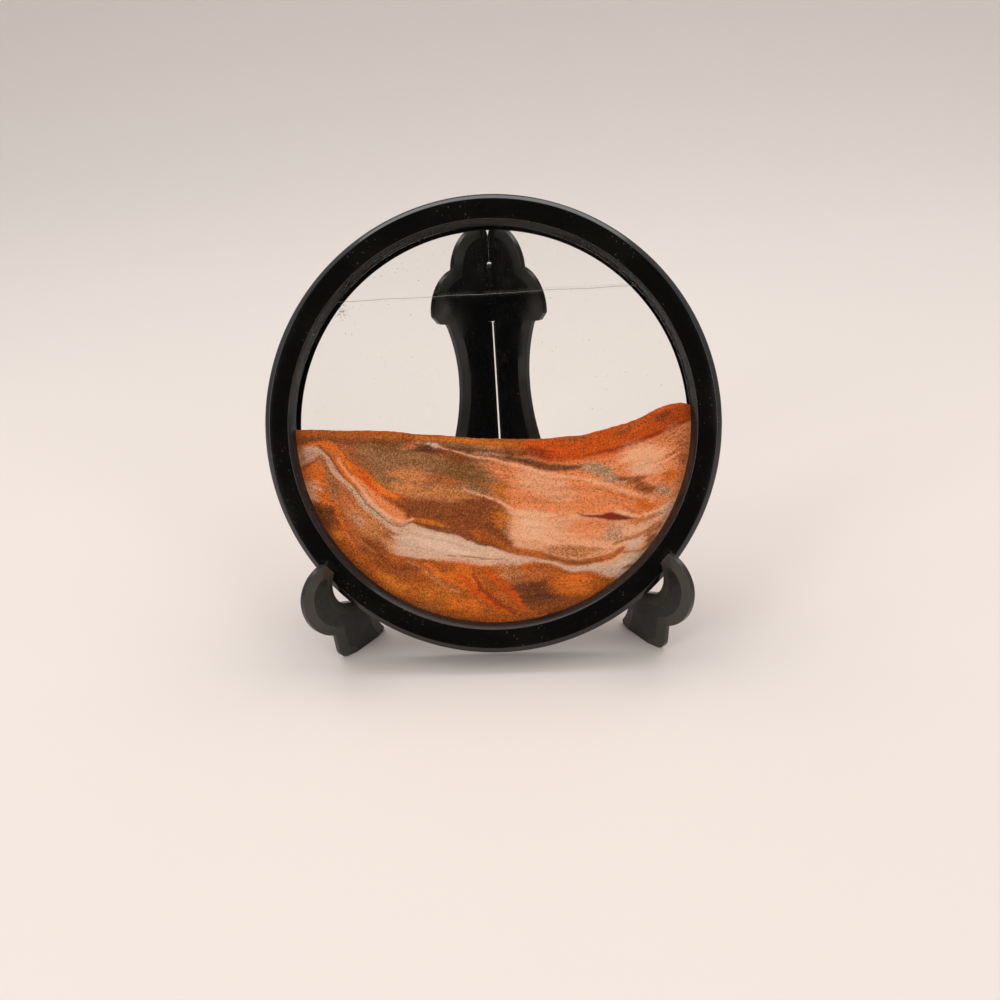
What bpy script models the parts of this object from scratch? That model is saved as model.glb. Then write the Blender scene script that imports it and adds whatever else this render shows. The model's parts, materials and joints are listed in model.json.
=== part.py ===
"""Moving sand picture leaning in a folding plate stand.

A round black ring holds two panes of glass with water and coloured sand sealed
between them. It stands in the notches of two hinged plastic leaves and leans back
on their shoulders. The world is in metres with +Z up. The picture faces -Y, and the
origin is the middle of the whole object's box, on the surface that it stands on.
"""

import math

import bmesh
import bpy
from mathutils import Matrix, Vector

# Fits
REST_GAP = 0.0003            # between two pieces that touch
HINGE_GAP = 0.0006           # between one knuckle and the next

# How the picture stands
LEAN = math.radians(24.7)            # the picture's tilt back from upright
LEAF_SPREAD = math.radians(36.0)     # each leaf's angle from the middle plane
PICTURE_FORWARD = 0.0538             # ring centre, ahead of the hinge axis
FLOOR_CLEARANCE = 0.0025             # under the ring's lowest edge

# Ring, from the window outwards
WINDOW_RADIUS = 0.0782
WINDOW_LAND = 0.0004         # straight edge at the foot of the window's slope
SLOPE_WIDTH = 0.0022         # the slope round the window, seen from the front
FACE_RECESS = 0.0045         # from the ring's face down to the front glass
SEAL_SETBACK = 0.0018        # the seal hides this far behind the window's edge
SEAL_WIDTH = 0.0040
GLASS_MARGIN = 0.0004        # glass outside the seal
GASKET_WIDTH = 0.0009
SPIGOT_WALL = 0.0014         # the rear ring's wall round the glass
RING_WALL = 0.0024           # the front ring's outer wall
FRONT_CHAMFER_WIDTH = 0.0020
FRONT_CHAMFER_DEPTH = 0.0018
REAR_CHAMFER = 0.0010
REAR_WINDOW_CHAMFER = 0.0007
SNAP_HEIGHT = 0.0005         # bead on the spigot that clicks into the outer wall
SNAP_LENGTH = 0.0020

# Glass cell, from back to front
REAR_PLATE = 0.0012          # the rear ring's flat plate
GLASS_THICKNESS = 0.0020
SAND_SPACE = 0.0040          # between the two panes
GLASS_EDGE_BEVEL = 0.0003

# Fill plug at the top of the ring
PLUG_HEAD_RADIUS = 0.0025
PLUG_HEAD_THICKNESS = 0.0010
PLUG_STEM_RADIUS = 0.0009

# Water and sand. Each sand line is given as distances from the middle and heights
# above the lowest place in the cell.
WATER_DROP = 0.0277          # water's edge on the front pane, below the cell's highest place
SAND_CREST = [(-0.078, 0.0817), (-0.050, 0.0804), (-0.020, 0.0773), (0.000, 0.0752),
              (0.020, 0.0745), (0.036, 0.0753), (0.050, 0.0786), (0.065, 0.0843),
              (0.074, 0.0864), (0.079, 0.0856)]
SKIN_FOOT = [(-0.078, 0.0771), (-0.062, 0.0766), (-0.040, 0.0732), (-0.005, 0.0694),
             (0.020, 0.0664), (0.038, 0.0658), (0.058, 0.0730), (0.074, 0.0802),
             (0.079, 0.0806)]
DARK_FOOT = [(-0.078, 0.0705), (-0.066, 0.0695), (-0.048, 0.0590), (-0.024, 0.0570),
             (0.000, 0.0612), (0.024, 0.0602), (0.056, 0.0560), (0.079, 0.0572)]
PEACH_FOOT = [(-0.078, 0.0663), (-0.068, 0.0662), (-0.057, 0.0550), (-0.042, 0.0430),
              (-0.016, 0.0364), (0.006, 0.0284), (0.024, 0.0256), (0.052, 0.0284),
              (0.079, 0.0330)]
PALE_FOOT = [(-0.078, 0.0546), (-0.068, 0.0505), (-0.055, 0.0405), (-0.042, 0.0322),
             (-0.016, 0.0274), (0.010, 0.0236), (0.034, 0.0224), (0.056, 0.0200),
             (0.079, 0.0160)]
SAND_STEP = 0.0040           # along a sand line from point to point

# Leaf section
LEAF_THICKNESS = 0.0042
BEVEL_WIDTH = 0.0042         # the slope round each face, seen square on
BEVEL_DEPTH = 0.0011         # how far the slope drops at the leaf's edge
SPINE_GAP_TOP = 0.0001       # leaf edge to hinge axis, at the upper barrel's top
SPINE_GAP_FOOT = 0.0006      # the same at the foot

# Leaf head and upright
SHOULDER_HEIGHT = 0.1255     # centre of the shoulder's curve
SHOULDER_RADIUS = 0.0148
CROWN_INSET = 0.0142         # crown's centre, from the shoulder's towards the spine
CROWN_RISE = 0.0132          # and above it
CROWN_RADIUS = 0.0152
CROWN_FLAT = 0.0042          # the crown's top is flat this far out from the spine
SHOULDER_END = math.radians(-4.0)    # where the shoulder's curve meets its undercut
UNDERCUT_STEP = (0.0115, -0.0049)    # corner under the shoulder, from its centre
UNDERCUT_INNER = (0.0068, -0.0064)
NECK_TOP = (0.0057, -0.0082)         # where the neck starts below the shoulder
NECK_WIDTH = 0.0214
NECK_HEIGHT = 0.0925         # height of the neck's narrowest place

# Leaf arm, notch and hook, measured from the notch's centre
NOTCH_EASE = 0.0020          # how much rounder the notch is than the ring's edge
SEAT_EASE = math.radians(1.0)        # round the notch, from the ring's seat to the flat floor
ARM_DROP = 0.0020            # arm's top corner below the notch's centre
HOOK_REACH = 0.0281          # foremost point
HOOK_RISE = 0.0022
HOOK_TOP_RADIUS = 0.0125
HOOK_BELLY_RADIUS = 0.0232
HOOK_BELLY_END = math.radians(-65.0)
TIP_START = math.radians(95.0)       # where the hook's top curve meets its tip
HOLLOW_CENTRE = (0.0001, 0.0025)     # curve of the hook's inner side
HOLLOW_RADIUS = 0.0125
HOLLOW_TOP = math.radians(32.0)      # where that curve meets the hook's tip
HOLLOW_FOOT = math.radians(-46.5)    # where it meets the notch's flat floor

# Leaf feet
TOE_SETBACK = 0.0140         # toe's front, behind the hook's foremost point
TOE_RADIUS = 0.0056
SOLE_START = math.radians(-78.0)     # where the toe's curve, and the heel's, meet the sole
HEEL_BACK = 0.0136           # where the arch would meet the floor, behind the notch's centre
HEEL_ROUNDING = 0.0013
ARCH_FRONT_RADIUS = 0.0200
ARCH_FRONT_HEIGHT = 0.0140
ARCH_HEIGHT = 0.0186
ARCH_BACK_RADIUS = 0.0130
REAR_FOOT = 0.0210           # rear foot, from the spine

# Hinge barrels on the spine
BARREL_RADIUS = 0.0022
BARREL_LENGTH = 0.0240
BARREL_CLEARANCE = 0.0004
UPPER_BARREL_DROP = 0.0127   # upper barrel's foot, below the shoulder's centre
LOWER_BARREL_FOOT = 0.0140
PIN_RADIUS = 0.0009
PIN_PROUD = 0.0010           # the pin's domed end stands this far out of its barrel
KNUCKLES = 3                 # in each barrel

# Facets
RING_STEPS = 96
SMALL_STEPS = 24
ARM_FACETS = 22              # along the curve from the arm up to the neck
FLARE_FACETS = 8             # along the neck's flare
ARCH_FACETS = 6              # along the front half of the arch's top
DOME_FACETS = 4
ARC_FACETS = 2               # in the shortest arc
ARC_CHORD = 0.0019
CUT_MARGIN = 0.0080          # how far outlines and cutters run past what they cut
SMOOTH_ANGLE = math.radians(30.0)
PANE_EDGE_ANGLE = math.radians(60.0)
AXIS_MARK_SIZE = 0.02

# Tolerances
PARALLEL = 1e-9              # two lines this near to parallel don't cross
FINE_MERGE = 0.000001        # points nearer than this become one
MERGE = 0.00001
INSET_MERGE = 0.0002         # the same, along an outline that was moved inwards
MITRE_LIMIT = 0.4            # least cosine at a corner of such an outline
INSET_KEPT = 0.985           # share of the inset that a kept point lies from the outline
CORNER_KEPT = 0.9            # the same for a corner that was worked out

# Sizes worked out from those above
CELL_DEPTH = 2 * GLASS_THICKNESS + SAND_SPACE
RING_DEPTH = REAR_PLATE + REST_GAP + CELL_DEPTH + FACE_RECESS
CAVITY_RADIUS = WINDOW_RADIUS + SEAL_SETBACK
SEAL_OUTER = CAVITY_RADIUS + SEAL_WIDTH
GLASS_RADIUS = SEAL_OUTER + GLASS_MARGIN
GASKET_INNER = GLASS_RADIUS + REST_GAP
GASKET_OUTER = GASKET_INNER + GASKET_WIDTH
SPIGOT_INNER = GASKET_OUTER + REST_GAP
SPIGOT_OUTER = SPIGOT_INNER + SPIGOT_WALL
WALL_INNER = SPIGOT_OUTER + REST_GAP
RING_RADIUS = WALL_INNER + RING_WALL
RING_FRONT = RING_DEPTH / 2
RING_BACK = -RING_DEPTH / 2
REAR_GLASS_BACK = RING_BACK + REAR_PLATE + REST_GAP
SAND_BACK = REAR_GLASS_BACK + GLASS_THICKNESS
SAND_FRONT = SAND_BACK + SAND_SPACE
FRONT_GLASS_FACE = SAND_FRONT + GLASS_THICKNESS
SAND_MIDDLE = (SAND_BACK + SAND_FRONT) / 2
RING_CENTRE_HEIGHT = FLOOR_CLEARANCE + RING_RADIUS * math.cos(LEAN) + RING_FRONT * math.sin(LEAN)
UPPER_BARREL_FOOT = SHOULDER_HEIGHT - UPPER_BARREL_DROP
LEAF_INNER = REST_GAP / 2                     # leaf's inner face, from the hinge axis
LEAF_MIDDLE = LEAF_INNER + LEAF_THICKNESS / 2
RIM_OFFSET = LEAF_INNER + BEVEL_DEPTH         # where the leaf's square edge starts

# Finishes, as colour and roughness
GLOSS_PLASTIC = ((0.012, 0.012, 0.012), 0.18)
SATIN_PLASTIC = ((0.012, 0.012, 0.012), 0.42)
PIN_STEEL = ((0.45, 0.44, 0.43), 0.35)
SILICONE = ((0.020, 0.020, 0.020), 0.60)
RUBBER = ((0.030, 0.030, 0.030), 0.70)
PANE_GLASS = ((0.90, 0.95, 0.93), 0.02)
CLEAR_WATER = ((0.92, 0.95, 0.95), 0.02)
AMBER_SKIN = ((0.42, 0.13, 0.03), 0.85)
DARK_STREAK = ((0.17, 0.08, 0.04), 0.85)
PEACH = ((0.62, 0.24, 0.12), 0.85)
PALE_BAND = ((0.56, 0.38, 0.29), 0.85)
AMBER_BASE = ((0.46, 0.14, 0.03), 0.85)
GLASS_ALPHA = 0.25
WATER_ALPHA = 0.15


def clear_scene():
    """Remove whatever the file holds."""
    for item in list(bpy.data.objects):
        bpy.data.objects.remove(item, do_unlink=True)


def new_collection(name):
    """Make a collection in the scene."""
    collection = bpy.data.collections.new(name)
    bpy.context.scene.collection.children.link(collection)
    return collection


def new_material(name, finish, metallic=0.0, transmission=0.0, alpha=1.0):
    """Make a plain Principled material from a finish's colour and roughness."""
    colour, roughness = finish
    material = bpy.data.materials.new(name)
    material.use_nodes = True
    shader = material.node_tree.nodes["Principled BSDF"]
    shader.inputs["Base Color"].default_value = (*colour, 1.0)
    shader.inputs["Roughness"].default_value = roughness
    shader.inputs["Metallic"].default_value = metallic
    shader.inputs["Transmission Weight"].default_value = transmission
    shader.inputs["Alpha"].default_value = alpha
    material.diffuse_color = (*colour, alpha)
    return material


def add_object(name, data, collection, parent=None):
    """Make an object from a mesh or a curve."""
    item = bpy.data.objects.new(name, data)
    collection.objects.link(item)
    item.parent = parent
    return item


def add_empty(name, collection, parent=None, location=(0.0, 0.0, 0.0), turn=(0.0, 0.0, 0.0)):
    """Make an empty that carries other objects."""
    item = add_object(name, None, collection, parent)
    item.empty_display_size = AXIS_MARK_SIZE
    item.location = location
    item.rotation_euler = turn
    return item


def mesh_from_bmesh(name, work):
    """Turn a bmesh into a mesh and free it."""
    mesh = bpy.data.meshes.new(name)
    work.to_mesh(mesh)
    work.free()
    return mesh


def bake_shape(item):
    """Replace an object's data with the mesh that its modifiers make, and shade it."""
    bpy.context.view_layer.update()
    evaluated = item.evaluated_get(bpy.context.evaluated_depsgraph_get())
    mesh = bpy.data.meshes.new_from_object(evaluated)
    item.modifiers.clear()
    item.data = mesh
    mesh.shade_smooth()
    mesh.set_sharp_from_angle(angle=SMOOTH_ANGLE)
    return item


def turned(name, profile, collection, parent, steps, closed=True):
    """Turn a profile of (radius, height) points about the object's Z axis."""
    mesh = bpy.data.meshes.new(name)
    count = len(profile)
    edges = [(i, (i + 1) % count) for i in range(count if closed else count - 1)]
    mesh.from_pydata([(radius, 0.0, height) for radius, height in profile], edges, [])
    item = add_object(name, mesh, collection, parent)
    screw = item.modifiers.new("turn", "SCREW")
    screw.axis = "Z"
    screw.steps = steps
    screw.render_steps = steps
    screw.use_merge_vertices = True
    screw.merge_threshold = MERGE
    return bake_shape(item)


def cylinder(name, radius, low, high, collection, parent, steps=SMALL_STEPS, turn=(0.0, 0.0, 0.0)):
    """Make a capped cylinder along its own Z axis."""
    work = bmesh.new()
    bmesh.ops.create_cone(work, cap_ends=True, segments=steps, radius1=radius, radius2=radius,
                          depth=high - low)
    bmesh.ops.translate(work, verts=work.verts, vec=(0.0, 0.0, (low + high) / 2))
    item = add_object(name, mesh_from_bmesh(name, work), collection, parent)
    item.rotation_euler = turn
    return item


def as_cutter(item):
    """Show an object as a cutter only."""
    item.hide_render = True
    item.display_type = "WIRE"
    return item


def boolean(item, other, operation):
    """Cut, join or intersect one object with another."""
    modifier = item.modifiers.new(operation.lower(), "BOOLEAN")
    modifier.operation = operation
    modifier.solver = "EXACT"
    modifier.object = other
    return item


def arc(centre, radius, start, end, least=ARC_FACETS):
    """Points along an arc between two angles, ends included."""
    steps = max(least, math.ceil(abs(end - start) * radius / ARC_CHORD))
    angles = [start + (end - start) * i / steps for i in range(steps + 1)]
    return [Vector((centre[0] + radius * math.cos(a), centre[1] + radius * math.sin(a)))
            for a in angles]


def circle_crossing(centre_a, radius_a, centre_b, radius_b):
    """The crossing of two circles that lies to the right of the way from a to b."""
    along = centre_b - centre_a
    distance = along.length
    reach = (distance ** 2 + radius_a ** 2 - radius_b ** 2) / (2 * distance)
    height = math.sqrt(radius_a ** 2 - reach ** 2)
    along.normalize()
    return centre_a + along * reach + Vector((along.y, -along.x)) * height


def angle_at(centre, point):
    """Angle of a point about a centre."""
    return math.atan2(point[1] - centre[1], point[0] - centre[0])


def distance_to_outline(point, outline):
    """Shortest distance from a point to a closed outline."""
    best = math.inf
    for i, start in enumerate(outline):
        side = outline[(i + 1) % len(outline)] - start
        share = max(0.0, min(1.0, (point - start).dot(side) / side.length_squared))
        best = min(best, (point - start - side * share).length)
    return best


def line_crossing(point_a, way_a, point_b, way_b):
    """Where two lines cross, or None where they run side by side."""
    spread = way_a.x * way_b.y - way_a.y * way_b.x
    if abs(spread) < PARALLEL:
        return None
    step = point_b - point_a
    return point_a + way_a * ((step.x * way_b.y - step.y * way_b.x) / spread)


def inset_outline(outline, width):
    """A counter-clockwise outline moved inwards, with what would cross itself trimmed."""
    count = len(outline)
    ways = [(outline[(i + 1) % count] - outline[i]).normalized() for i in range(count)]
    moved = []
    for i, point in enumerate(outline):
        before = Vector((-ways[i - 1].y, ways[i - 1].x))
        after = Vector((-ways[i].y, ways[i].x))
        mitre = (before + after).normalized()
        moved.append(point + mitre * (width / max(mitre.dot(before), MITRE_LIMIT)))
    kept = [i for i in range(count) if distance_to_outline(moved[i], outline) > INSET_KEPT * width]
    inset = []
    for i, following in zip(kept, kept[1:] + kept[:1]):
        inset.append(moved[i])
        if following != (i + 1) % count:
            corner = line_crossing(moved[i], ways[i], moved[following], ways[following - 1])
            if corner and distance_to_outline(corner, outline) > CORNER_KEPT * width:
                inset.append(corner)
    return [point for i, point in enumerate(inset) if (point - inset[i - 1]).length > INSET_MERGE]


def ring_edge_in_leaf(offset, radius):
    """Where a circle of the leaning ring passes through the plane of a leaf's edge.

    The circle lies at an offset along the picture's front normal. The answer is the
    distance out along the leaf and the height, at the crossing near the floor.
    """
    away = -PICTURE_FORWARD - offset * math.cos(LEAN)
    spread = math.tan(LEAF_SPREAD)
    rise = math.sin(LEAN)
    reach = RIM_OFFSET / math.cos(LEAF_SPREAD) - away * spread
    square = 1 + (spread * rise) ** 2
    middle = -2 * reach * spread * rise
    last = reach ** 2 - radius ** 2
    down = (-middle - math.sqrt(middle ** 2 - 4 * square * last)) / (2 * square)
    back = away + down * rise
    out = (RIM_OFFSET * math.sin(LEAF_SPREAD) - back) / math.cos(LEAF_SPREAD)
    height = RING_CENTRE_HEIGHT + offset * rise + down * math.cos(LEAN)
    return Vector((out, height))


def notch_circle():
    """Centre and radius of a circle that passes just outside the ring's two lower edges.

    The ring's rear edge rests on the notch's part of it, and the notch's flat floor
    leaves it in front of that seat.
    """
    rear = ring_edge_in_leaf(RING_BACK + REAR_CHAMFER, RING_RADIUS)
    front = ring_edge_in_leaf(RING_FRONT, RING_RADIUS - FRONT_CHAMFER_WIDTH)
    span = front - rear
    reach = span.length / 2 + NOTCH_EASE
    side = Vector((-span.y, span.x)).normalized()
    rise = math.sqrt(reach ** 2 - span.length_squared / 4)
    return (rear + front) / 2 + side * rise, reach + REST_GAP


def shoulder_centre():
    """Centre of the shoulder's curve, which the rear glass leans on."""
    back = REAR_GLASS_BACK - REST_GAP
    away = -PICTURE_FORWARD - back / math.cos(LEAN)
    reach = (RIM_OFFSET * math.sin(LEAF_SPREAD) - away) / math.cos(LEAF_SPREAD)
    slope = Vector((1.0, math.tan(LEAN) / math.cos(LEAF_SPREAD)))
    limit = (reach + slope.y * RING_CENTRE_HEIGHT) / slope.length
    slope.normalize()
    out = (limit - SHOULDER_RADIUS - slope.y * SHOULDER_HEIGHT) / slope.x
    return Vector((out, SHOULDER_HEIGHT))


def foot_outline(notch, hook_front):
    """Both feet and the arch between them, from the spine forwards."""
    points = [Vector((-CUT_MARGIN, -CUT_MARGIN)), Vector((REAR_FOOT, -CUT_MARGIN))]
    back_bend = (REAR_FOOT + ARCH_BACK_RADIUS, ARCH_HEIGHT - ARCH_BACK_RADIUS)
    points += arc(back_bend, ARCH_BACK_RADIUS, math.pi, math.pi / 2)
    run_out = math.sqrt(ARCH_FRONT_RADIUS ** 2 - ARCH_FRONT_HEIGHT ** 2)
    bend = Vector((notch.x - HEEL_BACK - run_out, ARCH_FRONT_HEIGHT))
    rise = ARCH_HEIGHT - ARCH_FRONT_HEIGHT
    points += [bend + Vector((ARCH_FRONT_RADIUS * math.sin(a), rise * math.cos(a)))
               for a in [math.pi / 2 * i / ARCH_FACETS for i in range(ARCH_FACETS)]]
    sole_lift = -math.sin(SOLE_START)
    heel_height = HEEL_ROUNDING * sole_lift
    reach = ARCH_FRONT_RADIUS + HEEL_ROUNDING
    heel = Vector((bend.x + math.sqrt(reach ** 2 - (bend.y - heel_height) ** 2), heel_height))
    meeting = angle_at(bend, heel)
    points += arc(bend, ARCH_FRONT_RADIUS, 0.0, meeting)
    heel_curve = arc(heel, HEEL_ROUNDING, math.pi + meeting, math.pi - SOLE_START)[1:]
    points += heel_curve + [Vector((heel_curve[-1].x, -CUT_MARGIN))]
    toe = (hook_front - TOE_SETBACK - TOE_RADIUS, TOE_RADIUS * sole_lift)
    toe_curve = arc(toe, TOE_RADIUS, SOLE_START, 0.0)
    return points + [Vector((toe_curve[0].x, -CUT_MARGIN))] + toe_curve


def hook_outline(notch, notch_radius):
    """The hook's belly, top and tip, its inner side, and the notch's floor and rear wall."""
    front = notch + Vector((HOOK_REACH, HOOK_RISE))
    belly = front - Vector((HOOK_BELLY_RADIUS, 0.0))
    top = front - Vector((HOOK_TOP_RADIUS, 0.0))
    points = arc(belly, HOOK_BELLY_RADIUS, HOOK_BELLY_END, 0.0)
    points += arc(top, HOOK_TOP_RADIUS, 0.0, TIP_START)[1:]
    points += arc(notch + Vector(HOLLOW_CENTRE), HOLLOW_RADIUS, HOLLOW_TOP, HOLLOW_FOOT)
    seat = angle_at(notch, ring_edge_in_leaf(RING_BACK + REAR_CHAMFER, RING_RADIUS))
    rear_wall = -math.pi + math.asin(ARM_DROP / notch_radius)
    return points + arc(notch, notch_radius, seat + SEAT_EASE, rear_wall)


def upright_outline(notch, notch_radius):
    """The arm's top, the neck, the shoulder and the crown, down to the spine."""
    shoulder = shoulder_centre()
    corner = Vector((notch.x - math.sqrt(notch_radius ** 2 - ARM_DROP ** 2), notch.y - ARM_DROP))
    width = corner.x - NECK_WIDTH
    height = NECK_HEIGHT - corner.y
    points = [Vector((corner.x - width * math.sin(a), NECK_HEIGHT - height * math.cos(a)))
              for a in [math.pi / 2 * i / ARM_FACETS for i in range(1, ARM_FACETS + 1)]]
    neck_top = shoulder + Vector(NECK_TOP)
    flare = neck_top.x - NECK_WIDTH
    rise = neck_top.y - NECK_HEIGHT
    points += [Vector((NECK_WIDTH + flare * share ** 2, NECK_HEIGHT + rise * share))
               for share in [i / FLARE_FACETS for i in range(1, FLARE_FACETS + 1)]]
    points += [shoulder + Vector(UNDERCUT_INNER), shoulder + Vector(UNDERCUT_STEP)]
    crown = shoulder + Vector((-CROWN_INSET, CROWN_RISE))
    meeting = circle_crossing(crown, CROWN_RADIUS, shoulder, SHOULDER_RADIUS)
    if meeting.y < shoulder.y:
        meeting = circle_crossing(shoulder, SHOULDER_RADIUS, crown, CROWN_RADIUS)
    points += arc(shoulder, SHOULDER_RADIUS, SHOULDER_END, angle_at(shoulder, meeting))
    crown_end = math.acos((CROWN_FLAT - crown.x) / CROWN_RADIUS)
    points += arc(crown, CROWN_RADIUS, angle_at(crown, meeting), crown_end)[1:]
    points.append(Vector((-CUT_MARGIN, points[-1].y)))
    return points


def leaf_outline():
    """The whole leaf, counter-clockwise, as distance from the spine and height."""
    notch, notch_radius = notch_circle()
    points = foot_outline(notch, notch.x + HOOK_REACH)
    points += hook_outline(notch, notch_radius)
    return points + upright_outline(notch, notch_radius)


def bevelled_plate(outline):
    """A flat plate with a broad slope round both faces, lying in XY."""
    work = bmesh.new()
    rim = LEAF_THICKNESS / 2 - BEVEL_DEPTH
    loops = []
    for points in (outline, inset_outline(outline, BEVEL_WIDTH)):
        verts = [work.verts.new((point.x, point.y, rim)) for point in points]
        edges = [work.edges.new((vert, verts[(i + 1) % len(verts)])) for i, vert in enumerate(verts)]
        loops.append((verts, edges))
    (_, rim_edges), (face_verts, face_edges) = loops
    bmesh.ops.triangle_fill(work, use_beauty=True, edges=rim_edges + face_edges)
    bmesh.ops.contextual_create(work, geom=face_edges)
    bmesh.ops.translate(work, verts=face_verts, vec=(0.0, 0.0, BEVEL_DEPTH))
    walls = bmesh.ops.extrude_edge_only(work, edges=rim_edges)["geom"]
    lower = [item for item in walls if isinstance(item, bmesh.types.BMVert)]
    bmesh.ops.translate(work, verts=lower, vec=(0.0, 0.0, -rim))
    bmesh.ops.triangulate(work, faces=work.faces)
    everything = work.verts[:] + work.edges[:] + work.faces[:]
    bmesh.ops.mirror(work, geom=everything, axis="Z", merge_dist=FINE_MERGE)
    return work


def cut_flat(work, point, normal):
    """Cut away what lies beyond a plane, and close the cut."""
    everything = work.verts[:] + work.edges[:] + work.faces[:]
    bmesh.ops.bisect_plane(work, geom=everything, dist=FINE_MERGE, plane_co=point, plane_no=normal,
                           clear_outer=True)
    open_edges = [edge for edge in work.edges if edge.is_boundary]
    bmesh.ops.holes_fill(work, edges=open_edges, sides=0)


def leaf_mesh(name, side):
    """The leaf's plate, standing up along X and Z with the hinge axis at the origin.

    The side is 1 for the leaf whose outer face looks along +Y, and -1 for the other.
    """
    work = bevelled_plate(leaf_outline())
    cut_flat(work, (0.0, 0.0, 0.0), (0.0, -1.0, 0.0))
    top = UPPER_BARREL_FOOT + BARREL_LENGTH
    tilt = (SPINE_GAP_FOOT - SPINE_GAP_TOP) / top
    cut_flat(work, (SPINE_GAP_FOOT, 0.0, 0.0), (-1.0, -tilt, 0.0))
    bmesh.ops.recalc_face_normals(work, faces=work.faces)
    bmesh.ops.rotate(work, verts=work.verts, matrix=Matrix.Rotation(math.pi / 2, 3, "X"))
    bmesh.ops.translate(work, verts=work.verts, vec=(0.0, side * LEAF_MIDDLE, 0.0))
    return mesh_from_bmesh(name, work)


def build_leaf(name, side, own_knuckles, parts, cutters, parent):
    """One leaf of the stand, with its knuckles and the room for the other leaf's."""
    leaf = add_object(name, leaf_mesh(name, side), parts, parent)
    leaf.rotation_euler = (0.0, 0.0, side * LEAF_SPREAD - math.pi / 2)
    pitch = BARREL_LENGTH / KNUCKLES
    for barrel, foot in (("upper", UPPER_BARREL_FOOT), ("lower", LOWER_BARREL_FOOT)):
        for place in range(KNUCKLES):
            low = foot + place * pitch
            label = f"{name}_{barrel}_{place}"
            if place in own_knuckles:
                knuckle = cylinder(label + "_knuckle", BARREL_RADIUS, low + HINGE_GAP / 2,
                                   low + pitch - HINGE_GAP / 2, cutters, leaf)
                boolean(leaf, as_cutter(knuckle), "UNION")
            else:
                room = cylinder(label + "_room", BARREL_RADIUS + BARREL_CLEARANCE, low,
                                low + pitch, cutters, leaf)
                boolean(leaf, as_cutter(room), "DIFFERENCE")
        bore = cylinder(f"{name}_{barrel}_bore", PIN_RADIUS + REST_GAP, foot - HINGE_GAP,
                        foot + BARREL_LENGTH + PIN_PROUD + HINGE_GAP, cutters, leaf)
        boolean(leaf, as_cutter(bore), "DIFFERENCE")
    return leaf


def build_pin(name, foot, parts, parent):
    """A pin that fills its barrel, with a domed end above it."""
    low = foot + HINGE_GAP / 2
    dome = foot + BARREL_LENGTH + PIN_PROUD - PIN_RADIUS
    profile = arc((0.0, dome), PIN_RADIUS, math.pi / 2, 0.0, DOME_FACETS)
    profile[0].x = 0.0
    profile += [Vector((PIN_RADIUS, low)), Vector((0.0, low))]
    return turned(name, profile, parts, parent, SMALL_STEPS, closed=False)


def build_stand(parts, cutters, parent):
    """Both leaves and the two pins that they fold on."""
    plastic = new_material("satin_black_plastic", SATIN_PLASTIC)
    steel = new_material("pin_steel", PIN_STEEL, metallic=1.0)
    right = build_leaf("right_leaf", 1, (0, 2), parts, cutters, parent)
    left = build_leaf("left_leaf", -1, (1,), parts, cutters, parent)
    for leaf in (right, left):
        leaf.data.materials.append(plastic)
    for name, foot in (("upper_hinge_pin", UPPER_BARREL_FOOT), ("lower_hinge_pin", LOWER_BARREL_FOOT)):
        build_pin(name, foot, parts, parent).data.materials.append(steel)


def front_ring_profile():
    """Front ring: a face with a sloped window and an outer wall, from the face outwards."""
    slope_top = WINDOW_RADIUS + SLOPE_WIDTH
    shelf = FRONT_GLASS_FACE + REST_GAP
    groove = RING_BACK + REAR_PLATE + SNAP_LENGTH
    return [
        (slope_top, RING_FRONT),
        (RING_RADIUS - FRONT_CHAMFER_WIDTH, RING_FRONT),
        (RING_RADIUS, RING_FRONT - FRONT_CHAMFER_DEPTH),
        (RING_RADIUS, RING_BACK + REAR_CHAMFER),
        (RING_RADIUS - REAR_CHAMFER, RING_BACK),
        (WALL_INNER, RING_BACK),
        (WALL_INNER, groove - SNAP_LENGTH / 2),
        (WALL_INNER + SNAP_HEIGHT, groove),
        (WALL_INNER, groove + SNAP_LENGTH / 2),
        (WALL_INNER, shelf),
        (WINDOW_RADIUS, shelf),
        (WINDOW_RADIUS, shelf + WINDOW_LAND),
    ]


def rear_ring_profile():
    """Rear ring: a flat plate with a spigot that snaps inside the front ring's wall."""
    plate_top = RING_BACK + REAR_PLATE
    bead = plate_top + SNAP_LENGTH
    return [
        (SPIGOT_INNER, FRONT_GLASS_FACE),
        (SPIGOT_OUTER, FRONT_GLASS_FACE),
        (SPIGOT_OUTER, bead + SNAP_LENGTH / 2),
        (SPIGOT_OUTER + SNAP_HEIGHT, bead),
        (SPIGOT_OUTER, bead - SNAP_LENGTH / 2),
        (SPIGOT_OUTER, RING_BACK),
        (WINDOW_RADIUS + REAR_WINDOW_CHAMFER, RING_BACK),
        (WINDOW_RADIUS, RING_BACK + REAR_WINDOW_CHAMFER),
        (WINDOW_RADIUS, plate_top),
        (SPIGOT_INNER, plate_top),
    ]


def band_profile(inner, outer, low, high):
    """A square section between two radii and two heights."""
    return [(inner, high), (outer, high), (outer, low), (inner, low)]


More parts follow.
